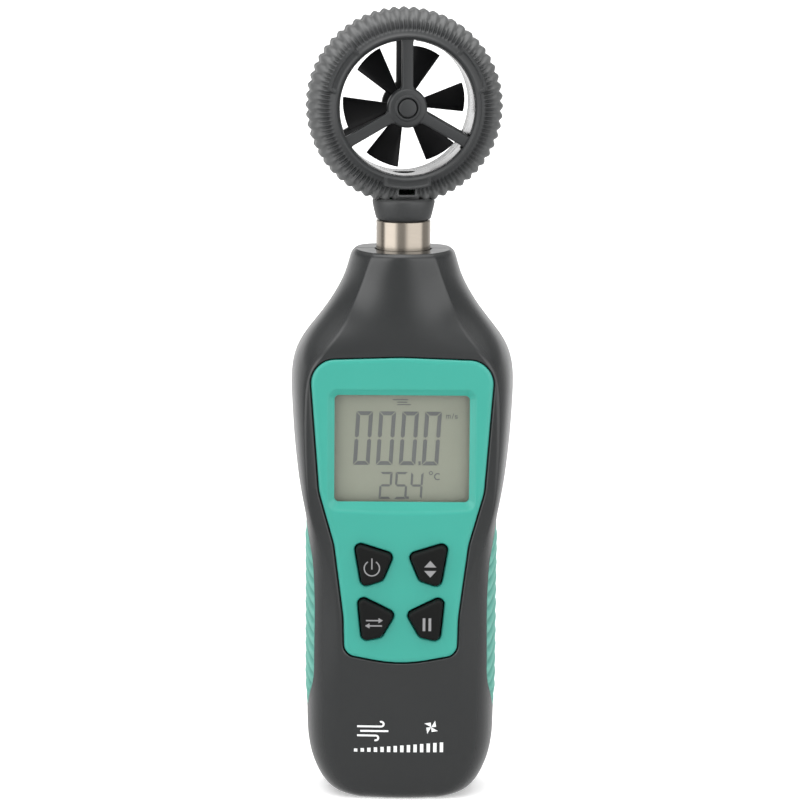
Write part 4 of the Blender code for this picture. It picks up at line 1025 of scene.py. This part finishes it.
def unit_marks(x, z, size):
    """Metres per second, as plain strokes."""
    thin = 0.17 * size
    marks = [bar(x + 0.45 * size * k, z + 0.4 * size, thin, 0.8 * size) for k in (0, 1, 2)]
    marks.append(bar(x + 0.45 * size, z + 0.8 * size, 1.0 * size, thin))
    marks.append([(x + 1.25 * size, z), (x + 1.42 * size, z), (x + 1.82 * size, z + 1.25 * size),
                  (x + 1.65 * size, z + 1.25 * size)])
    marks += [bar(x + 2.3 * size, z + 0.4 * size * k, 0.6 * size, thin) for k in (0.2, 1, 1.8)]
    marks.append(bar(x + 2.07 * size, z + 0.6 * size, thin, 0.45 * size))
    marks.append(bar(x + 2.53 * size, z + 0.22 * size, thin, 0.45 * size))
    return marks


def number(characters, sizes):
    """A row of digits, sized by (left, pitch, foot, width, height, thickness)."""
    left, pitch, foot, width, height, thick = sizes
    shapes = []
    for i, character in enumerate(characters):
        shapes += digit(character, left + pitch * i, foot, width, height, thick, DIGIT_SLANT)
    return shapes


def build_window(looks):
    low, high = node_box("lcd_window")
    outline = rectangle(high.x, (low.z, high.z), 1.0)
    steps = ((grown(outline, -0.15), low.y), (outline, low.y + 0.15), (outline, high.y))
    finish(slab("display_window", steps), looks["window"], "case", "lcd_window", slot="clear_window")


def build_display(looks):
    """The display's glass, with a speed, a temperature, their units and three short lines."""
    low, high = node_box("lcd_glass")
    outline = rectangle(high.x, (low.z, high.z), 0.3)
    steps = ((grown(outline, -0.2), low.y), (outline, low.y + 0.2), (outline, high.y))
    finish(slab("display_plate", steps), looks["glass"], "case", "lcd_glass", slot="display_glass")

    shapes = number("0000", SPEED_DIGITS) + [bar(3.95, 76.6, 0.5, 0.9)]
    shapes += number("254", HEAT_DIGITS) + [bar(1.35, 68.8, 0.55, 0.55)]
    shapes.append(arc_stroke((6.5, 74.4), 0.36, 0.2, 0, 359))
    shapes.append(arc_stroke((8.0, 73.6), 0.68, 0.28, 50, 310))
    shapes += unit_marks(9.85, 86.7, 0.95)
    for k, width in enumerate((3.4, 2.2, 3.0)):
        shapes.append(bar(0.4 * (k - 1), 90.9 - 0.55 * k, width, 0.24))
    segments = strokes("display_segments", shapes, low.y - 0.06, 0.04)
    finish(segments, looks["segment"], "case")


def wind_marks(z, thick, pitch, pieces=8):
    """Three level streaks of air, the outer ones with curled ends."""
    shapes = []
    for k, (start, stop) in enumerate(((-9.6, -4.2), (-8.9, -2.6), (-9.6, -5.4))):
        level, length = z - pitch * k, (stop - start) / pieces
        shapes += [bar(start + length * (i + 0.5), level, length, thick) for i in range(pieces)]
    for level, stop, way in ((z, -4.2, 1), (z - 2 * pitch, -5.4, -1)):
        shapes.append(arc_stroke((stop, level + 0.55 * way), 0.55, thick, -90 * way, 120 * way, 10))
    return shapes


def rotor_marks(x, z, blades=4):
    """A small pinwheel."""
    shapes = []
    for k in range(blades):
        corners = [(x, z)]
        for reach, degrees in ((1.1, 5), (1.75, 60)):
            angle = math.radians(degrees + 360 * k / blades)
            corners.append((x + reach * math.cos(angle), z + reach * math.sin(angle)))
        shapes.append(corners)
    return shapes


def build_print(looks):
    """Plain white marks at the foot: streaming air, a small rotor and a strength scale."""

    def on_face(x, z):
        return crown_at(z) * min(1.0, abs(x) / crease_at(z)) ** 2 - front_at(z) - PRINT_PROUD

    shapes = wind_marks(17.2, 0.42, 1.05) + rotor_marks(7.0, 17.1)
    shapes += [bar(-9.9 + 1.48 * k, 11.65 + 0.06 * k, 0.75, 0.7 + 0.12 * k) for k in range(14)]
    finish(strokes("foot_print", shapes, on_face), looks["print"], "case")


def build_inside(looks):
    """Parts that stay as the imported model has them, with their finished materials."""
    kept = {
        "lcd_backlight": "diffuser", "zebra_connector": "black_rubber", "main_board": "board",
        "mcu_chip": "black_plastic", "keypad_membrane": "black_rubber", "sensor_cable": "black_rubber",
        "sensor_board": "board", "pickup_sensor": "black_plastic", "thermistor": "black_plastic",
        "neck_retaining_ring": "steel", "contact_plus": "steel", "contact_minus": "steel",
        "contact_bridge_lower": "steel", "contact_bridge_upper": "steel",
    }
    for name, look in kept.items():
        mesh = frame["nodes"][name].data
        mesh.materials.clear()
        mesh.materials.append(looks[look])


# ---------------------------------------------------------------- screws and cells


def cross_screw(name, profile, centre, looks, body, place=None):
    """A pan-head screw along Y, its head behind, with a cross recess."""
    screw = turned(f"{name}_turned", profile, "Y", centre, 40, place)
    reach = max(radius for radius, along in profile) * 0.62
    top = profile[-1][1] + 0.3
    for across, tall in ((reach, 0.22), (0.22, reach)):
        low = (centre[0] - across, top - 0.9, centre[2] - tall)
        combine(screw, [box("cross", low, (centre[0] + across, top, centre[2] + tall), place)])
    finish(screw, looks["steel"], body, name, slot="steel")


def head_screw_centres():
    for degrees in SPOKE_ANGLES:
        angle = math.radians(degrees)
        yield HEAD_SCREW_RADIUS * math.cos(angle), 0, HEAD_SCREW_RADIUS * math.sin(angle)


def build_screws(looks):
    head = 5.3
    profile = [(0, -8.2), (1.2, -7.2), (1.2, head), (2.2, head), (2.2, head + 0.9), (2.0, head + 1.3),
               (1.5, head + 1.6), (0, head + 1.7)]
    for i, (x, z) in enumerate(screw_places("case_screw", 4)):
        cross_screw(f"case_screw_{i + 1}", profile, (x, 0, z), looks, "case")
    for i, (x, z) in enumerate(screw_places("board_screw", 4)):
        head = node_box(f"board_screw_{i + 1}")[1].y - 1.3
        profile = [(0, -11.5), (0.7, -10.9), (0.7, head), (1.9, head), (1.9, head + 0.7), (1.6, head + 1.1),
                   (0, head + 1.3)]
        cross_screw(f"board_screw_{i + 1}", profile, (x, 0, z), looks, "case")
    profile = [(0, -4.4), (0.8, -4.0), (0.8, 4.1), (1.6, 4.1), (1.6, 4.9), (1.3, 5.25), (0, 5.4)]
    for i, centre in enumerate(head_screw_centres()):
        cross_screw(f"head_screw_{i + 1}", profile, centre, looks, "head", HEAD)


def build_cells(looks):
    """AAA cells: a plain sleeve shrunk over the ends, a steel can and a nub."""
    for i in range(3):
        name = f"battery_{i + 1}"
        low, high = node_box(name)
        x, y = (low.x + high.x) / 2, (low.y + high.y) / 2
        radius = (high.y - low.y) / 2
        up = i != 1
        length = high.z - low.z
        body = length - 0.8
        profile = [(0, 0), (3.4, 0), (3.6, 0.12), (4.3, 0.12), (4.5, 0), (radius - 0.35, 0), (radius, 0.35),
                   (radius, body - 0.5), (radius - 0.15, body - 0.2), (4.6, body), (4.4, body - 0.15),
                   (2.4, body - 0.2), (1.9, body), (1.9, length - 0.15), (1.7, length), (0, length)]
        profile = [(r, low.z + along if up else high.z - along) for r, along in profile]
        cell = turned(f"{name}_cell", profile, "Z", (x, y, 0), 56)
        finish(cell, [looks["cell"], looks["steel"], looks["band"]], "case", name, slot="cell_sleeve")
        bare_radius, band_length = 4.4, 11
        for face in cell.data.polygons:
            along = face.center.z / MM - low.z
            along = along if up else length - along
            if math.hypot(face.center.x / MM - x, face.center.y / MM - y) < bare_radius:
                face.material_index = 1
            elif along > body - band_length:
                face.material_index = 2


# ---------------------------------------------------------------- vane head


def ring_skin(side):
    """Rows of points round one half of the ribbed ring, from the parting plane inside to the one outside."""
    around = RIB_COUNT * AROUND_RIB
    angle = 2 * np.pi * (np.arange(around) + 0.5) / around
    degrees = np.degrees(angle)

    def near(middle, half, soft):
        away = np.abs((degrees - middle + 180) % 360 - 180)
        return 1 - smooth_step(half - soft, half + soft, away)

    pad = np.clip(sum(near(middle, PAD_HALF_ANGLE, 0.8) for middle in PAD_ANGLES), 0, 1)
    pad_floor = np.clip(sum(near(middle, PAD_HALF_ANGLE - 2.2, 0.8) for middle in PAD_ANGLES), 0, 1)
    edge = LIP_RADIUS + (PAD_RADIUS - LIP_RADIUS) * pad
    spread = np.abs((degrees + 3) % 6 - 3)  # degrees from the nearest rib, at most 3
    valley = 1 - (0.5 + 0.5 * np.cos(np.pi * spread / 3)) ** 0.65
    pocket = np.sin(np.pi / 2 * np.clip(spread / 1.5, 0, 1)) ** 1.5
    pocket = pocket * (1 - 0.75 * smooth_step(1.7, 2.8, spread))
    if side < 0:
        plain = near(270, 7.5, 0.7)
    else:
        plain = np.clip(sum(near(middle, 7.0, 1.0) for middle in SPOKE_ANGLES), 0, 1)

    bore = BORE_RADIUS
    inside = ((SEAT_RADIUS, GAP / 2), (SEAT_RADIUS, SLEEVE_HALF + GAP), (bore, SLEEVE_HALF + GAP),
              (bore, 7.25), (bore + 0.15, 7.5), (bore + 0.38, 7.72), (bore + 0.55, 7.88))
    rows = [(np.full(around, radius), np.full(around, along)) for radius, along in inside]
    flange = LIP[0]
    for share in (0.05, 0.15, 0.25, 0.35, 0.7, 0.78, 0.86, 0.94):
        dip = PAD_DIP * pad_floor * smooth_step(0.05, 0.35, share) * (1 - smooth_step(0.7, 0.86, share))
        rows.append((flange + (edge - flange) * share, RING_HALF_DEPTH - dip))
    shares = (0.0, 0.015, 0.04, 0.08, 0.14, 0.2, 0.26, 0.32, 0.4, 0.48, 0.56, 0.64, 0.72, 0.8, 0.87, 0.93,
              0.97, 1.0)
    for share in shares:
        radius = edge + (CREST_RADIUS - edge) * share
        along = np.array([curve_at(CHAMFER, r) for r in radius])
        on_pad = pad * (1 - smooth_step(PAD_RADIUS, PAD_RADIUS + 0.3, radius))
        along = along + (RING_HALF_DEPTH - along) * on_pad
        start = 17.15 + 1.0 * pad
        carve = smooth_step(start, start + 0.6, radius)
        outer = smooth_step(19.0, 20.8, radius)
        bare = plain * (1 - smooth_step(20.3, 21.3, radius))
        depth = RIB_DEPTH * carve * (outer * valley + (1 - outer) * pocket) * (1 - bare)
        lean = smooth_step(19.5, 21.9, radius)  # 0 where the surface faces along the axis, 1 outwards
        rows.append((radius - depth * (0.3 + 0.7 * lean), along - depth * (1 - lean) * 0.9))
    for along in (1.8, 1.2, 0.6, 0.35, GAP / 2):
        sink = 0.12 * (1 - smooth_step(0.1, 0.5, along))
        rows.append((CREST_RADIUS - RIB_DEPTH * valley - sink, np.full(around, along)))
    return [np.stack([r * np.cos(angle), side * a, r * np.sin(angle)], 1) for r, a in rows]


def spoke(name, degrees, side, grow=0.0):
    """A spoke of the guard, softly flared where it meets the hub and the ring."""
    half, corner = SPOKE_WIDTH / 2 + grow, 0.4
    low, high = sorted((side * (SPOKE_Y[0] - grow), side * (SPOKE_Y[1] + grow)))
    rings = []
    stations = ((2.5, 0.3), (4.4, 0.25), (4.8, 0.0), (14.6, 0.0), (15.1, 0.15), (16.6, 0.3))
    for along, flare in stations:
        width = half + (0 if grow else flare)
        section = rounded_outline([(-width, low, corner), (width, low, corner), (width, high, corner),
                                   (-width, high, corner)], 22.5)
        rings.append([(along, y, x) for x, y in section])
    return loft(name, rings, HEAD @ Matrix.Rotation(-math.radians(degrees), 4, "Y"))


def paint_ring_highlights(shell):
    """Paints highlights on the ring in a lighter colour: its lip and collar slightly, its ribs more towards
    their crests.
    """
    back = HEAD.inverted()
    painted_highlight = shell.data.attributes.new("painted_highlight", "FLOAT", "POINT")
    for i, corner in enumerate(shell.data.vertices):
        spot = back @ (corner.co / MM)
        reach = math.hypot(spot.x, spot.z)
        on_collar = spot.z < -21 and abs(spot.x) < 7.3 and abs(spot.y) < 7.3
        on_lip = LIP[0] - 0.02 < reach < LIP[1] + 0.02 and abs(spot.y) > RING_HALF_DEPTH - 0.1
        if on_lip:
            painted_highlight.data[i].value = LIP_HIGHLIGHT
        elif on_collar or reach > CREST_RADIUS + 0.3:
            painted_highlight.data[i].value = COLLAR_LIGHTENING
        else:
            painted_highlight.data[i].value = smooth_step(*RIB_HIGHLIGHT_RADII, reach)


def hub(side):
    """The guard's hub, hollow for the bearing, with a ring groove round the cap's seat."""
    foot, top = HUB_Y
    profile = ((0, top - 0.6), (2.1, top - 0.6), (2.15, top - 0.35), (2.3, top - 0.08), (2.4, top),
               (2.7, top), (2.85, top - 0.1), (2.95, top - 0.3), (HUB_FACE_RADIUS, top - 0.35),
               (4.1, top - 0.5), (4.35, top - 0.85), (HUB_RADIUS, top - 1.2), (HUB_RADIUS, foot),
               (1.75, foot), (1.75, top - 1.1), (0, top - 1.1))
    return turned("hub", [(radius, side * along) for radius, along in profile], "Y", steps=72, place=HEAD)


def collar_half(side):
    """One half of the collar under the ring and of the spigot in the tube."""
    profile = ((SPIGOT_RADIUS, SPIGOT_FOOT_Z), (SPIGOT_RADIUS, -25.3), (6.0, -25.3), (6.15, -25.15),
               (6.45, -24.0), (6.75, -22.8), (6.98, -21.6), (6.95, -21.1), (6.7, -20.75), (6.2, -20.55),
               (4.5, -20.4))
    collar = turned("collar", profile, "Z", steps=72, place=HEAD)
    low, high = (GAP / 2, 30) if side > 0 else (-30, -GAP / 2)
    return combine(collar, [box("collar_half", (-30, low, -40), (30, high, 40), HEAD)], "INTERSECT")


def vent_frame():
    """The raised frame round the vent slot at the ring's foot."""
    across, tall = VENT_SIZE
    outline = rectangle(across / 2 + VENT_FRAME, (VENT_Z - tall / 2 - VENT_FRAME, VENT_Z + tall / 2 + 0.2),
                        0.4, 30)
    return slab("vent_frame", ((outline, -4.5), (outline, -7.15), (grown(outline, -0.12), -7.27)), HEAD)


def head_cutters(side):
    """The pocket for the sensor, the cable's bore, the screws' bores and seats, and the vent slot."""
    low, high = POCKET_Z
    cutters = [box("pocket", (-POCKET_X, -POCKET_Y, low), (POCKET_X, POCKET_Y, high), HEAD),
               rod("cable_bore", CABLE_BORE, (-35, -24.0), "Z", steps=32, place=HEAD)]
    for i, centre in enumerate(head_screw_centres()):
        cutters.append(rod(f"screw_bore_{i}", HEAD_SCREW_BORE, (-5, 6), "Y", centre, 24, HEAD))
        if side > 0:
            span = (HEAD_SCREW_SEAT_Y, 20)
            cutters.append(rod(f"screw_seat_{i}", HEAD_SCREW_SEAT, span, "Y", centre, 32, HEAD))
    if side < 0:
        across, tall = VENT_SIZE
        slot = rectangle(across / 2, (VENT_Z - tall / 2, VENT_Z + tall / 2), 0.3, 30)
        cutters.append(slab("vent_slot", ((slot, -12), (slot, -4)), HEAD))
    return cutters


def build_head_shell(name, side, looks):
    tag = "front" if side < 0 else "rear"
    shell = loft(f"head_{tag}", ring_skin(side), HEAD, closed=True)
    middle, collar = hub(side), collar_half(side)
    spokes = [spoke(f"spoke_{i}", degrees, side) for i, degrees in enumerate(SPOKE_ANGLES)]
    combine(shell, spokes + [middle, collar], "UNION")
    if side < 0:
        combine(shell, [vent_frame()], "UNION")
    combine(shell, head_cutters(side))
    finish(shell, looks["head"], "head", name, slot="head_plastic", sharp=40)
    paint_ring_highlights(shell)


def build_hub_cap(side, looks):
    tag, top = "front" if side < 0 else "rear", HUB_Y[1]
    profile = ((0, top - 0.55), (HUB_CAP_RADIUS, top - 0.55), (HUB_CAP_RADIUS, top + 0.1),
               (HUB_CAP_RADIUS - 0.1, top + 0.2), (1.6, top + 0.25), (0, top + 0.25))
    profile = [(radius, side * along) for radius, along in profile]
    cap = turned(f"{tag}_cap", profile, "Y", steps=48, place=HEAD)
    finish(cap, looks["head"], "head", f"{tag}_hub_cap", slot="head_plastic")


def build_duct(looks):
    """The bright duct sleeve with its turned grooves."""
    inner, outer, end = SLEEVE_RADIUS, SLEEVE_RADIUS + SLEEVE_THICK, SLEEVE_HALF
    profile = [(outer, -end), (outer, end), (inner + 0.15, end), (inner, end - 0.2)]
    grooves = ((5.9, 0.2), (4.8, 0.12), (3.9, 0.12), (3.1, 0.12), (2.2, 0.12), (0.0, 0.28), (-2.6, 0.1))
    for y, deep in grooves:
        profile += [(inner, y + deep), (inner + deep, y + deep / 2), (inner + deep, y - deep / 2),
                    (inner, y - deep)]
    profile += [(inner, 0.2 - end), (inner + 0.15, -end)]
    sleeve = turned("duct_lining", profile, "Y", steps=180, place=HEAD, hollow=True)
    slot = rectangle(2.5, (-1.6, 1.6), 1.59, 10)
    cutters = [loft("pickup_slot", [[(x, y, z) for x, y in slot] for z in (-18, -12)], HEAD)]
    for i, degrees in enumerate(SPOKE_ANGLES):
        cutters += [spoke(f"notch_{i}_{side}", degrees, side, GAP + 0.35) for side in (-1, 1)]
    combine(sleeve, cutters)
    finish(sleeve, looks["bright_metal"], "head", "duct_sleeve", slot="bright_metal")


# Painted shade: a black pad that mirrors nothing fills the pickup slot, so that the slot looks dark.
def build_pickup_slot_shade(looks):
    outline = rectangle(2.35, (-1.45, 1.45), 1.44, 10)
    pad = loft("pickup_slot_shade", [[(x, y, z) for x, y in outline] for z in PICKUP_SHADE_PAD], HEAD)
    finish(pad, looks["dark_window"], "head")


def build_bearings(looks):
    for tag, side in (("front", -1), ("rear", 1)):
        near, far = side * 5.1, side * (HUB_Y[1] - 1.3)
        bush = ((1.4, near), (1.5, near + 0.1 * side), (1.5, far), (0.59, far), (0.59, near))
        made = turned(f"{tag}_bush", bush, "Y", steps=40, place=HEAD, hollow=True)
        finish(made, looks["brass"], "head", f"{tag}_bearing", slot="bearing_brass")


def build_neck(looks):
    """The bare metal tube, with a groove for its retaining ring."""
    low, high = node_box("neck_tube")
    ring_low, ring_high = node_box("neck_retaining_ring")
    radius, bore = high.x, 5.5
    groove = (ring_low.z + ring_high.z) / 2
    deep = radius - 0.3
    profile = ((bore, low.z), (radius - 0.2, low.z), (radius, low.z + 0.2), (radius, groove - 0.6),
               (deep, groove - 0.6), (deep, groove + 0.6), (radius, groove + 0.6), (radius, high.z - 0.2),
               (radius - 0.2, high.z), (bore, high.z))
    tube = turned("swivel_tube", profile, "Z", steps=96, hollow=True)
    finish(tube, looks["nickel"], "head", "neck_tube", slot="nickel")


def blade(name, middle):
    """A flat-pitched blade with thin rounded edges: a sector that slopes along the axis as it goes round."""
    rings = []
    for radius in (2.4, 4.0, 6.0, 8.0, 10.0, 11.8, 12.9, BLADE_TIP - 0.12, BLADE_TIP):
        at_tip = radius == BLADE_TIP
        half_span = math.radians(BLADE_SPAN / 2) * (0.97 if at_tip else 1.0)
        thick = BLADE_THICK / 2 * (0.7 if at_tip else 1.0)
        top, under = [], []
        for k in range(13):
            share = 2 * k / 12 - 1
            rise = BLADE_PITCH * radius * half_span * share
            angle = middle + half_span * share
            spot = Vector((radius * math.cos(angle), rise, radius * math.sin(angle)))
            around = Vector((-math.sin(angle), 0, math.cos(angle)))
            edge = math.sqrt(max(0.0, 1 - abs(share) ** 12)) * 0.75 + 0.25
            normal = (Vector((0, 1, 0)) - BLADE_PITCH * around).normalized() * thick * edge
            top.append(tuple(spot + normal))
            under.append(tuple(spot - normal))
        rings.append(top + under[::-1])
    return loft(name, rings, HEAD)


def build_rotor(looks):
    bore, half, radius = 0.65, 3.6, 3.4
    corner = ((1.6, 0), (2.3, 0.15), (2.9, 0.5), (3.25, 0.95), (radius, 1.5))
    profile = [(bore, -half)] + [(reach, inset - half) for reach, inset in corner]
    profile += [(reach, half - inset) for reach, inset in reversed(corner)] + [(bore, half)]
    rotor = turned("vane_rotor", profile, "Y", steps=60, place=HEAD, hollow=True)
    middles = [math.radians(BLADE_START + 360 * i / BLADES) for i in range(BLADES)]
    combine(rotor, [blade(f"blade_{i}", middle) for i, middle in enumerate(middles)], "UNION")
    finish(rotor, looks["black_plastic"], "rotor", "impeller", slot="black_plastic")


def build_shaft(looks):
    profile = ((0, -6.4), (0.25, -6.35), (0.5, -6.1), (0.5, 6.1), (0.25, 6.35), (0, 6.4))
    shaft = turned("rotor_shaft", profile, "Y", steps=32, place=HEAD)
    finish(shaft, looks["steel"], "rotor", "impeller_shaft", slot="steel")


# ---------------------------------------------------------------- studio


# Brightness round the object by bearing from the reader, in degrees: level with it, and above it
SURROUND = ((-180, 1.15), (-150, 1.1), (-112, 0.85), (-104, 0.3), (-90, 0.3), (-82, 2.35), (-38, 2.35),
            (-22, 0.55), (4, 0.5), (22, 1.8), (80, 1.8), (90, 0.45), (125, 0.55), (150, 1.1), (180, 1.15))
FLOOR_NEAR = (0.28, 0.42)  # metres from the middle over which the floor's mirror image changes
RAISED = ((-180, 0.3), (-104, 0.3), (-90, 0.35), (-82, 3.1), (-32, 3.1), (-17, 0.45), (4, 0.4), (19, 2.4),
          (80, 2.4), (90, 0.4), (104, 0.3), (180, 0.3))


def bearing_bands(tree, across, ahead, bands):
    """Grey bands that change with the bearing of a direction."""
    bearing = calculated(tree, "ARCTAN2", across, calculated(tree, "MULTIPLY", ahead, -1.0))
    share = node(tree, "ShaderNodeMapRange", Value=bearing, From_Min=-math.pi, From_Max=math.pi)
    shades = node(tree, "ShaderNodeValToRGB")
    tree.links.new(share.outputs["Result"], shades.inputs["Fac"])
    ramp = shades.color_ramp
    ramp.elements.remove(ramp.elements[0])
    for i, (degrees, value) in enumerate(bands):
        position = (degrees + 180) / 360
        stop = ramp.elements[0] if i == 0 else ramp.elements.new(position)
        stop.position = position
        stop.color = (value, value, value, 1)
    return shades.outputs["Color"]


def floor_look():
    """Pale floor. In mirror images, its far parts show the soft boxes that stand on it."""
    made, tree = new_material("floor")
    made.cycles.emission_sampling = "NONE"
    pale = tree.nodes["Principled BSDF"]
    mottle = varied(tree, noise(tree, 60), 0.84, 0.88)
    grey = node(tree, "ShaderNodeCombineColor", Red=mottle, Green=mottle, Blue=mottle)
    tree.links.new(grey.outputs["Color"], pale.inputs["Base Color"])
    pale.inputs["Roughness"].default_value = 0.6
    pale.inputs["Specular IOR Level"].default_value = 0.2
    path = node(tree, "ShaderNodeLightPath")
    pale.inputs["Emission Color"].default_value = (1, 1, 1, 1)
    glow = varied(tree, path.outputs["Is Camera Ray"], 0.0, 0.35)
    tree.links.new(glow, pale.inputs["Emission Strength"])
    where = node(tree, "ShaderNodeNewGeometry").outputs["Position"]
    spot = node(tree, "ShaderNodeSeparateXYZ", Vector=where)
    colour = bearing_bands(tree, spot.outputs["X"], spot.outputs["Y"], SURROUND)
    length = node(tree, "ShaderNodeVectorMath", operation="LENGTH")
    tree.links.new(where, length.inputs[0])
    far = node(tree, "ShaderNodeMapRange", Value=length.outputs["Value"], From_Min=FLOOR_NEAR[0],
               From_Max=FLOOR_NEAR[1])
    shown = node(tree, "ShaderNodeEmission", Color=either(tree, far.outputs["Result"], 0.7, colour))
    both = node(tree, "ShaderNodeMixShader")
    tree.links.new(path.outputs["Is Glossy Ray"], both.inputs[0])
    tree.links.new(pale.outputs["BSDF"], both.inputs[1])
    tree.links.new(shown.outputs["Emission"], both.inputs[2])
    tree.links.new(both.outputs["Shader"], tree.nodes["Material Output"].inputs["Surface"])
    return made


def build_floor():
    floor = box("floor", (-6000, -6000, -10), (6000, 6000, 0))
    floor.data.materials.append(floor_look())
    floor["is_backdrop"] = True


def build_surround():
    """A white surround that shows in reflections as wide soft boxes on both sides and overhead."""
    world = bpy.data.worlds.new("studio")
    bpy.context.scene.world = world
    world.use_nodes = True
    tree = world.node_tree
    tree.nodes.clear()
    direction = node(tree, "ShaderNodeTexCoord").outputs["Generated"]
    spot = node(tree, "ShaderNodeSeparateXYZ", Vector=direction)
    colour = bearing_bands(tree, spot.outputs["X"], spot.outputs["Y"], SURROUND)
    raised = bearing_bands(tree, spot.outputs["X"], spot.outputs["Y"], RAISED)
    for start, stop, then in ((0.16, 0.3, raised), (0.5, 0.62, 0.7), (0.7, 0.88, 2.6)):
        share = node(tree, "ShaderNodeMapRange", Value=spot.outputs["Z"], From_Min=start, From_Max=stop)
        colour = either(tree, share.outputs["Result"], colour, then)
    seen = node(tree, "ShaderNodeLightPath").outputs["Is Camera Ray"]
    background = node(tree, "ShaderNodeBackground", Color=either(tree, seen, colour, 1.0), Strength=1.0)
    output = node(tree, "ShaderNodeOutputWorld")
    tree.links.new(background.outputs["Background"], output.inputs["Surface"])


def build_lamp():
    """A weak lamp overhead."""
    light = bpy.data.lights.new("overhead", "AREA")
    light.shape = "RECTANGLE"
    light.size, light.size_y = 0.9, 0.7
    light.energy = 2
    lamp = bpy.data.objects.new("overhead", light)
    lamp.location = (-0.25, -0.2, 1.0)
    lamp.rotation_euler = (Vector((0, 0, 0.1)) - lamp.location).to_track_quat("-Z", "Y").to_euler()
    bpy.context.scene.collection.objects.link(lamp)


def build_camera():
    """The reader's view: a long lens, a little above the display."""
    elevation, distance, roll = math.radians(9), 1.05, math.radians(0.4)
    target = Vector((-0.0005, 0, 0.0888))
    data = bpy.data.cameras.new("camera")
    data.lens, data.sensor_width = 210, 36
    data.clip_start, data.clip_end = 0.05, 50
    camera = bpy.data.objects.new("camera", data)
    camera.location = target + distance * Vector((0, -math.cos(elevation), math.sin(elevation)))
    aim = (target - camera.location).to_track_quat("-Z", "Y").to_matrix().to_4x4()
    camera.rotation_euler = (aim @ Matrix.Rotation(roll, 4, "Z")).to_euler()
    bpy.context.scene.collection.objects.link(camera)
    bpy.context.scene.camera = camera


def main():
    looks = build_materials()
    for build in (build_front_shell, build_rear_shell, build_seam_strip, build_panel, build_grips,
                  build_battery_cover, build_keys, build_window, build_display, build_print, build_inside,
                  build_screws, build_cells):
        build(looks)
    for name, side in (("head_front_shell", -1), ("head_rear_shell", 1)):
        build_head_shell(name, side, looks)
        build_hub_cap(side, looks)
    for build in (build_duct, build_pickup_slot_shade, build_bearings, build_neck, build_rotor, build_shaft):
        build(looks)
    bpy.context.scene.view_settings.view_transform = "Standard"
    build_floor()
    build_surround()
    build_lamp()
    build_camera()
    sizes = {"cad": cad_bounds, "visual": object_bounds()}
    sizes = {key: [list(corner) for corner in corners] for key, corners in sizes.items()}


main()
